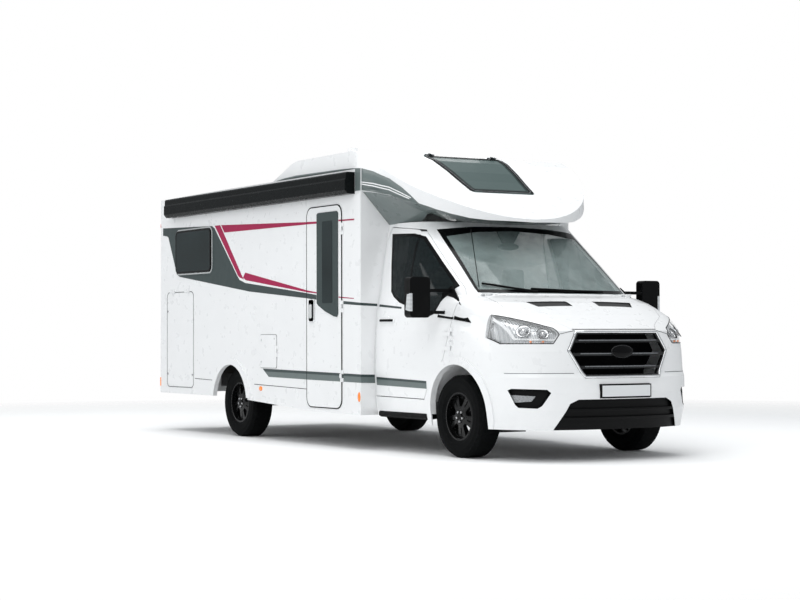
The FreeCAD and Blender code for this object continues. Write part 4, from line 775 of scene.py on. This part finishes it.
def add_nose_graphics():
    """The grey cheeks of the nose and their two white lines."""
    for word, side in SIDES:
        nose_strip("cheek_rear_" + word, BAND_TOP, BAND_LOW, (-0.555, 1.074), side, "grey")
        nose_strip("cheek_front_" + word, BAND_TOP, BAND_LIP, (1.0785, 1.66), side, "grey")
        on_wall("cheek_wall_" + word, [(0.98, 2.344), (1.0775, 2.344), (1.0775, 2.5448),
                                       (0.98, 2.5448)], side, 0, SKIN, "grey")
        for name, run in (("one", LINE_ONE), ("two", LINE_TWO)):
            nose_strip(f"cheek_line_{name}_{word}", run, [(x, z - 0.010) for x, z in run],
                       (run[0][0], run[-1][0]), side, "white_film", 0.0026)


# ---- openings' trims ----

def add_skylight():
    """A black frame round the skylight and its lower double edge."""
    rear, front, half, slim = 0.953, 1.676, 0.440, 0.346
    outline = [(rear, -half), (front - 0.04, -slim - 0.004), (front, -slim + 0.045),
               (front, slim - 0.045), (front - 0.04, slim + 0.004), (rear, half)]
    for name, outer, inner, stand, shade in (("frame", 0.001, 0.046, 0.004, "black"),
                                             ("edge", 0.022, 0.028, 0.0055, "bar_grey"),
                                             ("line", 0.056, 0.062, 0.003, "black")):
        film("sky_" + name, inset(outline, outer), "z", 1, ["skylight"], shade, "skylight",
             stand, 0.03, inset(outline, inner))


def add_windows():
    """Frames of the side windows, and the entrance door's dark panel with its pane."""
    for word, side in SIDES:
        wall_frame("pane_frame_" + word, (-2.916, 1.690), (-2.007, 2.182), 0.075, 0.014, side,
                   0, 0.005, "light_grey")
        wall_frame("pane_seal_" + word, (-2.902, 1.704), (-2.021, 2.168), 0.064, 0.022, side,
                   0, 0.0195, "gloss_black", bevel=0.003)
    panel = [(0.276, 2.171), (0.300, 2.183), (0.655, 2.183), (0.680, 2.165), (0.680, 1.232),
             (0.660, 1.205), (0.600, 1.212), (0.430, 1.262), (0.300, 1.318), (0.276, 1.340)]
    on_wall("entry_panel", panel, -1, DOOR_PROUD, DOOR_PROUD + 0.0075, "slate",
            "entrance_door", 0.002)
    on_wall("entry_pane", rounded((0.385, 1.335), (0.578, 2.100), 0.02), -1,
            DOOR_PROUD + 0.0075, DOOR_PROUD + 0.0095, "dark_glass", "entrance_door", 0.0008)


def add_door_trims():
    """Seals, locks and the entrance handle, the skirts' joints, and the marker lamps."""
    wall_frame("entry_seal", (0.064, 0.358), (0.742, 2.245), 0.095, 0.010, -1,
               DOOR_PROUD + 0.0005, 0.0005, "seal", "entrance_door")
    plate_outline = [(0.128, 1.366), (0.150, 1.378), (0.215, 1.378), (0.238, 1.366),
                     (0.238, 1.178), (0.215, 1.162), (0.150, 1.162), (0.128, 1.178)]
    on_wall("entry_handle_plate", plate_outline, -1, DOOR_PROUD, DOOR_PROUD + 0.015,
            "gloss_black", "entrance_door", 0.006)
    on_wall("entry_handle_grip", rounded((0.158, 1.195), (0.205, 1.330), 0.02), -1,
            DOOR_PROUD + 0.015, DOOR_PROUD + 0.027, "light_grey", "entrance_door",
            settings().bevel)
    wall_frame("flap_seal", (-0.914, 0.713), (-0.551, 1.047), 0.030, 0.007, -1, -0.001, 0.0015,
               "line")
    for word, side in SIDES:
        wall_frame("hold_seal_" + word, (-3.160, 0.475), (-2.470, 1.510), 0.064, 0.008, side,
                   -0.001, 0.0017, "line")
        for number, (x, z) in enumerate(((-3.13, 1.30), (-3.13, 0.62), (-2.50, 0.615))):
            disc(f"hold_lock_{word}_{number}", (x, (WALL + 0.002) * side, z), (0, 1, 0),
                 0.014, 0.006, "bright", "hold_door_" + word, 24, 0.001)
        for name, x, z, radii in (("front", 1.050, 0.480, (0.022, 0.012, 0.045)),
                                  ("rear", -0.899, 0.509, (0.036, 0.012, 0.024))):
            pod(f"side_marker_{name}_{word}", (x, (WALL + 0.001) * side, z), radii, "orange")
        on_wall("rear_marker_" + word, rounded((-3.345, 0.477), (-3.318, 0.577), 0.012), side,
                -0.015, 0.003, "orange", bevel=settings().bevel)
        pod("rear_top_marker_" + word, (-3.330, (WALL - 0.015) * side, 2.250),
            (0.014, 0.018, 0.045), "red")
        for name, (x0, z0), (x1, z1) in (("", (-2.44, 0.582), (-1.955, 0.572)),
                                         ("front_", (-1.04, 0.552), (0.060, 0.531))):
            on_wall("skirt_line_" + name + word, [(x0, z0), (x1, z1), (x1, z1 - 0.006),
                                                  (x0, z0 - 0.006)], side, 0, 0.0008, "seal")
    for number, (x, z) in enumerate(((-0.878, 0.99), (-0.878, 0.775), (-0.600, 1.005))):
        disc(f"flap_lock_{number}", (x, -WALL - 0.0055, z), (0, 1, 0), 0.010, 0.005,
             "light_grey", "service_flap", 20, 0.001)


# ---- front end ----

FOG_POCKET = [(0.918, 0.585), (0.904, 0.598), (0.704, 0.592), (0.677, 0.566), (0.736, 0.461),
              (0.764, 0.440), (0.867, 0.445), (0.883, 0.468)]
FOG_LENS = [(0.884, 0.548), (0.762, 0.540), (0.783, 0.497), (0.872, 0.487)]
INTAKE = [(-0.010, 0.200), (0.671, 0.200), (0.5265, 0.4776), (0.455, 0.510), (-0.010, 0.510)]
HOOD_SLOT = [(2.775, 0.140), (2.880, 0.140), (2.880, 0.497), (2.775, 0.555)]
PLATE_EDGE = [(-0.01, 0.518), (0.262, 0.518), (0.262, 0.634), (-0.01, 0.634)]
PLATE_FACE = [(-0.01, 0.532), (0.249, 0.532), (0.249, 0.621), (-0.01, 0.621)]
GRILLE_OUTLINE = [(-0.390, 0.682), (0.390, 0.682), (0.520, 0.908), (0.426, 1.072),
                  (-0.426, 1.072), (-0.520, 0.908)]
LAMP_OUTLINE = [(0.974, 1.225), (0.723, 1.142), (0.592, 1.095), (0.560, 1.040), (0.621, 0.962),
                (0.937, 0.962), (1.030, 1.080)]
LAMP_LINE = [(0.950, 1.195), (0.925, 1.188), (0.868, 1.012), (0.600, 1.004), (0.604, 0.990),
             (0.880, 0.996)]
SCREEN_OUTER = [(-0.786, 1.397), (0.786, 1.397), (0.738, 1.972), (0.395, 2.001), (0, 2.011),
                (-0.395, 2.001), (-0.738, 1.972)]
SCREEN_INNER = [(-0.765, 1.425), (0.765, 1.425), (0.703, 1.908), (0.395, 1.952), (0, 1.972),
                (-0.395, 1.952), (-0.703, 1.908)]
DOOR_WINDOW = [(1.282, 1.430), (1.336, 1.381), (1.448, 1.329), (1.985, 1.205), (2.046, 1.222),
               (2.240, 1.457), (1.947, 1.684), (1.660, 1.905), (1.520, 1.938), (1.170, 1.950)]


def flip(outline, side):
    """The outline of an (across, up) shape for one side."""
    return [(across * side, up) for across, up in outline]


def on_surface(node, axis, side, spot):
    """The point where a line along an axis, from outside, first meets a node."""
    at = "xyz".index(axis)
    start = list(spot)
    start.insert(at, side * FAR)
    hit = tree(node).ray_cast(Vector(start), along_axis(at, -side))[0]
    return hit if hit is not None else Vector(start)


def along_edge(node, outline, steps, lift, jump=0.12):
    """Points laid on a node's front along a closed outline, without misses and jumps."""
    points = []
    for (y0, z0), (y1, z1) in pairs(outline):
        for step in range(steps):
            share = step / steps
            hit = on_surface(node, "x", 1, (y0 + (y1 - y0) * share, z0 + (z1 - z0) * share))
            if hit.x < FAR and (not points or (hit - points[-1]).length < jump):
                points.append(hit + Vector((lift, 0, 0)))
    return points


def add_front():
    """The grille, the headlamps, and the fog lamps in the bumper."""
    add_grille()
    add_lamps()
    for word, side in SIDES:
        film("fog_lens_" + word, flip(FOG_LENS, side), "x", 1, ["front_bumper"], "bar_grey",
             ROOT, 0.010, 0.02)
        film("fog_cover_" + word, flip(FOG_LENS, side), "x", 1, ["front_bumper"], "lamp_glass",
             ROOT, 0.014, 0.02)


def add_seams():
    """The thin joints round the bumper and the hood's corners."""
    for word, side in SIDES:
        for name, run in (("bumper", [(0.475, 0.726), (0.930, 0.726), (0.930, 0.721),
                                      (0.475, 0.721)]),
                          ("hood", [(0.430, 1.075), (0.560, 1.047), (0.560, 1.042),
                                    (0.430, 1.070)])):
            film(f"seam_{name}_{word}", flip(run, side), "x", 1,
                 ["front_bumper", "cab_shell", "hood"], "line", ROOT, 0.0012, 0.03)


def add_grille():
    """A bright surround, a blank badge with its rim, the bars' edges and a near-black back sheet
    of painted shade.
    """
    tube("grille_surround", along_edge("grille", inset(GRILLE_OUTLINE, 0.011), 8, 0.003), 0.011,
         "chrome", ROOT, True)
    centre = on_surface("grille", "x", 1, (0, 0.880)) + Vector((0.003, 0, 0.020))
    pod("blank_badge", centre, (0.014, 0.110, 0.050), "gloss_black")
    rim = [centre + Vector((0.002, 0.110 * math.cos(a), 0.050 * math.sin(a)))
           for a in (math.pi * step / 24 for step in range(48))]
    tube("badge_rim", rim, 0.004, "grille", ROOT, True)
    for number, height in enumerate((0.782, 0.887, 0.996)):
        half = 0.405 if number else 0.370
        film(f"bar_edge_{number}", [(-half, height), (half, height), (half, height - 0.008),
                                      (-half, height - 0.008)], "x", 1, ["grille"],
             "bar_grey", ROOT, 0.0012, 0.04)
    # Painted shade: a near-black sheet behind the bars stands for the shaded space behind the
    # grille.
    slab("grille_back", [(y * 0.96, 0.878 + (z - 0.878) * 0.95) for y, z in GRILLE_OUTLINE],
         "x", 3.145, 3.150, "void")


def dish(name, centre, axis, radius, material):
    """A shallow open reflector bowl."""
    shape = bmesh.new()
    bmesh.ops.create_cone(shape, cap_ends=False, segments=40, radius1=radius * 0.45,
                          radius2=radius, depth=radius * 0.45)
    bmesh.ops.transform(shape, verts=shape.verts, matrix=leaned(centre, axis))
    thicken(from_bmesh(name, shape, material, ROOT, True), 0.0015)


def add_lamps():
    """What lies behind each headlamp's cover: back, line, bowls, bulbs and dots."""
    for word, side in SIDES:
        outline = flip(LAMP_OUTLINE, side)
        film("lamp_back_" + word, inset(outline, 0.003), "x", 1, ["lamps"], "reflector", ROOT,
             -0.036, 0.02)
        film("lamp_line_" + word, flip(LAMP_LINE, side), "x", 1, ["lamps"], "white_film", ROOT,
             -0.010, 0.02)
        tube("lamp_seal_" + word, along_edge("lamps", inset(outline, 0.004), 10, -0.001), 0.0035,
             "seal", ROOT, True)
        for number, (y, z, radius) in enumerate(((0.818, 1.076, 0.060), (0.690, 1.055, 0.050))):
            hit = on_surface("lamps", "x", 1, (y * side, z))
            beside = on_surface("lamps", "x", 1, ((y + 0.03) * side, z))
            over = on_surface("lamps", "x", 1, (y * side, z + 0.03))
            way = (beside - hit).cross(over - hit).normalized() * side
            dish(f"lamp_bowl_{word}_{number}", hit - way * 0.024, way, radius, "chrome")
            tube(f"lamp_ring_{word}_{number}", ring_points(hit - way * 0.011, way, radius),
                 0.0025, "steel", ROOT, True)
            pod(f"lamp_bulb_{word}_{number}", hit - way * 0.024, (radius * 0.4,) * 3,
                "bright")
        for number, y in enumerate((0.775, 0.690)):
            hit = on_surface("lamps", "x", 1, (y * side, 0.981))
            pod(f"lamp_dot_{word}_{number}", hit - Vector((0.016, 0, 0)),
                (0.008, 0.013, 0.009), "orange")


def ring_points(centre, axis, radius, steps=36):
    """Points of a circle round an axis."""
    turn = Vector((0, 0, 1)).rotation_difference(axis)
    return [centre + turn @ Vector((radius * math.cos(a), radius * math.sin(a), 0))
            for a in (2 * math.pi * step / steps for step in range(steps))]


def add_screen_trims():
    """The screen's black edge, the inner mirror, the wipers and the aerial."""
    film("screen_band", SCREEN_OUTER, "x", 1, ["windscreen", "cab_shell"], "gloss_black", ROOT,
         0.0012, 0.05, SCREEN_INNER)
    top = on_surface("windscreen", "x", 1, (0, 1.980))
    slab("screen_housing", [(-0.13, 1.985), (0.13, 1.985), (0.06, 1.865), (-0.06, 1.865)], "x",
         top.x - 0.055, top.x - 0.020, "grille", ROOT, 0.006)
    pod("rear_view_mirror", (top.x - 0.03, 0, 1.835), (0.018, 0.115, 0.034), "black")
    for name, run in (("left", [(0.46, 1.405), (0.10, 1.412), (-0.24, 1.424), (-0.30, 1.426)]),
                      ("right", [(-0.26, 1.402), (-0.46, 1.428), (-0.66, 1.462),
                                 (-0.72, 1.470)])):
        places = [on_surface("windscreen", "x", 1, spot) + Vector((0.012, 0, 0.008))
                  for spot in run]
        tube("wiper_" + name, places, 0.009, "black")
    base = Vector((2.390, -0.750, 1.365))
    tube("aerial", [base, base + Vector((-0.03, 0.004, 0.10)),
                    base + Vector((-0.16, 0.012, 0.58))], 0.004, "black")
    pod("aerial_foot", base + Vector((0, 0, 0.008)), (0.020, 0.020, 0.022), "black")


def plate(name, outline, side, node, body=ROOT, widest=1.1):
    """A thin black plate at a side; a corner off the surface takes its depth further in."""
    middle = sum((Vector(spot) for spot in outline), Vector((0, 0))) / len(outline)
    depths = []
    for spot in outline:
        for step in range(12):
            hit = on_surface(node, "y", side, Vector(spot).lerp(middle, step * 0.06))
            if abs(hit.y) < widest:
                break
        depths.append(hit.y)
    shape = bmesh.new()
    near, far = ([shape.verts.new((x, depth + lift * side, z))
                  for (x, z), depth in zip(outline, depths)] for lift in (-0.004, 0.006))
    shut(shape, near, far)
    bmesh.ops.triangulate(shape, faces=[f for f in shape.faces if len(f.verts) > 4])
    from_bmesh(name, shape, "black", body)


def add_mirrors():
    """Mirror glasses and sails, the rubber and bar of each cab window, and the handles."""
    for word, side in SIDES:
        body = "cab_door_" + word
        pane = "cab_glass_" + word
        slab("mirror_glass_" + word, rounded((1.25 * side - 0.085, 1.265),
                                             (1.25 * side + 0.085, 1.510), 0.02),
             "x", 2.1285, 2.1305, "chrome", body)
        film("window_rubber_" + word, inset(DOOR_WINDOW, -0.003), "y", side, [pane, body],
             "gloss_black", body, 0.0012, 0.05, inset(DOOR_WINDOW, 0.022))
        film("window_bar_" + word, [(1.578, 1.930), (1.602, 1.924), (1.602, 1.290),
                                    (1.578, 1.296)], "y", side, [pane, body], "gloss_black",
             body, 0.002, 0.05)
        plate("mirror_sail_" + word, [(2.111, 1.189), (2.124, 1.395), (2.200, 1.462),
                                      (2.372, 1.330), (2.349, 1.170)], side, body, body)
        plate("wing_sail_" + word, [(2.390, 1.318), (2.612, 1.140), (2.362, 1.169)], side,
              "cab_shell")
        hit = on_surface(body, "y", side, (1.330, 1.168))
        slab("cab_handle_" + word, rounded((1.170, 1.158), (1.400, 1.180), 0.010), "y",
             hit.y, hit.y + 0.003 * side, "black", body, 0.001)


# ---- wheels ----

def add_wheels():
    """Nuts, hub caps and tread; the nuts and caps sit on each rim's outer face."""
    for place, x, track in (("front", 2.375, 0.866), ("rear", -1.579, 0.962)):
        for word, side in SIDES:
            body = f"wheel_{place}_{word}"
            face = (track + 0.080) * side
            for number in range(5):
                turn = math.radians((number + 0.5) * 72)
                spot = (x + side * 0.043 * math.sin(turn), face + 0.008 * side,
                        WHEEL_UP + 0.043 * math.cos(turn))
                disc(f"nut_{place}_{word}_{number}", spot, (0, 1, 0), 0.0105, 0.014,
                     "bright", body, 6, 0.002)
            tread(body, x, track * side)
            disc(f"hub_cap_{place}_{word}", (x, face + 0.004 * side, WHEEL_UP),
                 (0, 1, 0), 0.026, 0.010, "gloss_black", body, 32, 0.003)


def tread(body, x, y):
    """Blocks of road tread round a tyre, inside its radius."""
    shape = bmesh.new()
    rows = ((-0.078, 0.036), (-0.034, 0.034), (0.010, 0.034), (0.054, 0.036))   # start, width
    count = 64
    for row, (start, width) in enumerate(rows):
        for number in range(count):
            turn = 2 * math.pi * (number + 0.5 * (row % 2)) / count
            matrix = (Matrix.Translation((x, y, WHEEL_UP)) @ Matrix.Rotation(turn, 4, "Y")
                      @ Matrix.Translation((0, start + width / 2, 0.3475)))
            made = bmesh.ops.create_cube(shape, size=1.0)
            bmesh.ops.scale(shape, vec=(0.026, width, 0.0045), verts=made["verts"])
            bmesh.ops.transform(shape, matrix=matrix, verts=made["verts"])
    from_bmesh("tread_" + body, shape, "tyre", body)


# ---- inside the cab ----

def add_seats():
    """Two cab seats of three padded pieces each, with their headrests' posts."""
    for word, side in SIDES:
        middle = 0.400 * side
        parts = (
            ("cushion", [(1.27, 0.775), (1.70, 0.790), (1.70, 0.895), (1.30, 0.905)], 0.225),
            ("back", [(1.19, 0.880), (1.30, 0.890), (1.255, 1.43), (1.175, 1.43)], 0.220),
            ("head", [(1.185, 1.455), (1.275, 1.455), (1.265, 1.655), (1.195, 1.655)], 0.120),
        )
        for name, outline, half in parts:
            piece = slab(f"seat_{name}_{word}", outline, "y", middle - half, middle + half,
                         "seat")
            plump(piece)
            if name == "cushion" and side < 0:
                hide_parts("cab_seats")
        for mark, y in (("a", middle - 0.06), ("b", middle + 0.06)):
            tube(f"head_post_{word}_{mark}", [(1.225, y, 1.40), (1.232, y, 1.50)], 0.007,
                 "bright")


def plump(piece):
    """Turn a slab into a rounded cushion."""
    bevel = piece.modifiers.new("round", "BEVEL")
    bevel.width = 0.035
    bevel.segments = 3
    smooth = piece.modifiers.new("smooth", "SUBSURF")
    smooth.levels = settings().render_levels
    smooth.render_levels = settings().render_levels
    for face in piece.data.polygons:
        face.use_smooth = True


def dress_nodes():
    """Give every CAD node its look."""
    looks = {
        "white": "roof right_wall left_wall rear_wall side_skirts cab_shell cab_door_right "
                 "cab_door_left entrance_door hold_door_right hold_door_left service_flap",
        "cap": "overcab_cap",
        "bumper": "rear_bumper",
        "front_bumper": "front_bumper",
        "hood": "hood",
        "anthracite": "awning",
        "screen": "windscreen",
        "side_glass": "cab_glass_right cab_glass_left",
        "dark_glass": "side_windows skylight roof_hatch",
        "grille": "grille",
        "black": "step_boards",
        "mirror": "mirror_right mirror_left",
        "lamp_covers": "lamps",
        "steel": "chassis_frame rear_axle knuckle_right knuckle_left tanks",
        "engine": "engine",
        "board": "floor",
        "dash": "dashboard",
        "seat": "cab_seats",
    }
    for material, names in looks.items():
        for name in names.split():
            wear(name, material)
    for place in ("front_right", "front_left", "rear_right", "rear_left"):
        wear("tyre_" + place, "tyre")
        wear("rim_" + place, "rim")


def wear(name, material):
    """Put a look on a CAD node, in all its slots."""
    node = NODES[name]
    if not node.data.materials:
        node.data.materials.append(MATERIALS[material])
    for slot in node.material_slots:
        slot.material = MATERIALS[material]


# ---- studio ----

def area_light(name, place, target, size, power):
    """A white rectangular light that faces a target."""
    light = bpy.data.lights.new(name, "AREA")
    light.shape = "RECTANGLE"
    light.size, light.size_y = size
    light.energy = power
    holder = added(name, light)
    holder.location = place
    holder.rotation_euler = (Vector(target) - Vector(place)).to_track_quat("-Z", "Y").to_euler()


def build_world(scene):
    """A pale sky that the camera, and what is seen through glass, gets as pure white."""
    scene.world = bpy.data.worlds.new("studio")
    scene.world.use_nodes = True
    nodes, wires = scene.world.node_tree.nodes, scene.world.node_tree.links
    sky, white = nodes["Background"], nodes.new("ShaderNodeBackground")
    for back, colour, strength in ((sky, (0.94, 0.97, 1.0, 1), 0.52), (white, (1, 1, 1, 1), 1.0)):
        back.inputs["Color"].default_value = colour
        back.inputs["Strength"].default_value = strength
    path = nodes.new("ShaderNodeLightPath").outputs
    seen = nodes.new("ShaderNodeMath")
    seen.operation = "MAXIMUM"
    mixed = nodes.new("ShaderNodeMixShader")
    for source, target in ((path["Is Camera Ray"], seen.inputs[0]),
                           (path["Is Transmission Ray"], seen.inputs[1]),
                           (seen.outputs[0], mixed.inputs[0]),
                           (sky.outputs[0], mixed.inputs[1]),
                           (white.outputs[0], mixed.inputs[2]),
                           (mixed.outputs[0], nodes["World Output"].inputs["Surface"])):
        wires.new(source, target)


def build_stage():
    """The world, a floor that fades out, and four lights."""
    scene = bpy.context.scene
    scene.view_settings.view_transform = "Standard"
    scene.view_settings.look = "None"
    build_world(scene)
    shape = bmesh.new()
    bmesh.ops.create_grid(shape, x_segments=1, y_segments=1, size=60.0)
    ground = added("ground", to_mesh("ground", shape))
    floor = Shade("pale_floor")
    x, y, _ = floor.place()[1]
    away = floor.maths("SQRT", (x * x) + (y * y))
    ground.data.materials.append(floor.finish(
        Base_Color=tone(floor, (0.93, 0.935, 0.935), 0.004, 0.3), Roughness=0.9,
        Emission_Color=tone(floor, (1.0, 1.0, 1.0), 0.004, 0.3), Emission_Strength=0.015,
        Alpha=floor.spread(away, 6.5, 12.0, 1.0, 0.0)))
    area_light("key", (9.0, -9.5, 9.0), (0.5, 0, 0.8), (9, 6), 560)
    area_light("top", (-0.5, -1.0, 9.5), (-0.5, -1.0, 0.0), (13, 9), 950)
    area_light("side", (-6.0, -11.0, 4.0), (-1.0, 0, 1.2), (7, 4), 170)
    area_light("inside", (0.2, 0, 2.35), (1.9, 0, 1.2), (1.0, 1.6), 12)


def build_camera():
    """The photograph's camera, fitted in its 800 pixels of width."""
    wide, focus, middle = 800, 1804.5, (401.1, 299.7)
    camera = bpy.data.cameras.new("camera")
    holder = added("camera", camera)
    bpy.context.scene.camera = holder
    camera.sensor_width = 36.0
    camera.lens = focus / wide * 36.0
    camera.shift_x = -(middle[0] - 400) / wide
    camera.shift_y = (middle[1] - 300) / wide
    camera.clip_end = 200
    yaw, pitch, roll = (math.radians(a) for a in (148.54, 1.09, -0.13))
    look = Vector((math.cos(yaw) * math.cos(pitch), math.sin(yaw) * math.cos(pitch),
                   math.sin(pitch)))
    holder.rotation_mode = "QUATERNION"
    holder.rotation_quaternion = look.to_track_quat("-Z", "Y") @ Quaternion((0, 0, 1), roll)
    holder.location = (15.134, -9.338, 1.047)


# ---- operators and panel ----

class MOTORHOME_OT_materials(bpy.types.Operator):
    """Make the materials and put them on the CAD nodes"""
    bl_idname = "motorhome.materials"
    bl_label = "Materials"

    def execute(self, context):
        make_materials()
        dress_nodes()
        return {"FINISHED"}


class MOTORHOME_OT_graphics(bpy.types.Operator):
    """Lay the stripes and bands on the sides and the nose"""
    bl_idname = "motorhome.graphics"
    bl_label = "Graphics"

    def execute(self, context):
        add_graphics()
        add_nose_graphics()
        return {"FINISHED"}


class MOTORHOME_OT_trims(bpy.types.Operator):
    """Add window frames, seams, door trims, mirrors and markers"""
    bl_idname = "motorhome.trims"
    bl_label = "Trims"

    def execute(self, context):
        add_windows()
        add_skylight()
        add_seams()
        add_door_trims()
        add_mirrors()
        return {"FINISHED"}


class MOTORHOME_OT_front(bpy.types.Operator):
    """Add grille trim, lamps, wipers and bumper details"""
    bl_idname = "motorhome.front"
    bl_label = "Front end"

    def execute(self, context):
        add_front()
        add_screen_trims()
        return {"FINISHED"}


class MOTORHOME_OT_wheels(bpy.types.Operator):
    """Add wheel nuts, hub caps and tread"""
    bl_idname = "motorhome.wheels"
    bl_label = "Wheels"

    def execute(self, context):
        add_wheels()
        return {"FINISHED"}


class MOTORHOME_OT_seats(bpy.types.Operator):
    """Add the cab's upholstered seats"""
    bl_idname = "motorhome.seats"
    bl_label = "Seats"

    def execute(self, context):
        add_seats()
        return {"FINISHED"}


class MOTORHOME_OT_stage(bpy.types.Operator):
    """Build the floor, the lights and the camera"""
    bl_idname = "motorhome.stage"
    bl_label = "Stage"

    def execute(self, context):
        build_stage()
        build_camera()
        return {"FINISHED"}


OPERATORS = (MOTORHOME_OT_materials, MOTORHOME_OT_graphics, MOTORHOME_OT_trims,
             MOTORHOME_OT_front, MOTORHOME_OT_wheels, MOTORHOME_OT_seats, MOTORHOME_OT_stage)


class MOTORHOME_PT_panel(bpy.types.Panel):
    bl_idname = "MOTORHOME_PT_panel"
    bl_label = "Motorhome"
    bl_space_type = "VIEW_3D"
    bl_region_type = "UI"
    bl_category = "Motorhome"

    def draw(self, context):
        for name in MotorhomeSettings.__annotations__:
            self.layout.prop(context.scene.motorhome, name)
        for operator in OPERATORS:
            self.layout.operator(operator.bl_idname)


CLASSES = (MotorhomeSettings, *OPERATORS, MOTORHOME_PT_panel)


def register():
    for item in CLASSES:
        bpy.utils.register_class(item)
    bpy.types.Scene.motorhome = PointerProperty(type=MotorhomeSettings)


def unregister():
    del bpy.types.Scene.motorhome
    for item in reversed(CLASSES):
        bpy.utils.unregister_class(item)


def main():
    register()
    bpy.ops.motorhome.materials()
    bpy.ops.motorhome.graphics()
    bpy.ops.motorhome.trims()
    bpy.ops.motorhome.front()
    bpy.ops.motorhome.wheels()
    bpy.ops.motorhome.seats()
    bpy.ops.motorhome.stage()


if __name__ == "__main__":
    main()
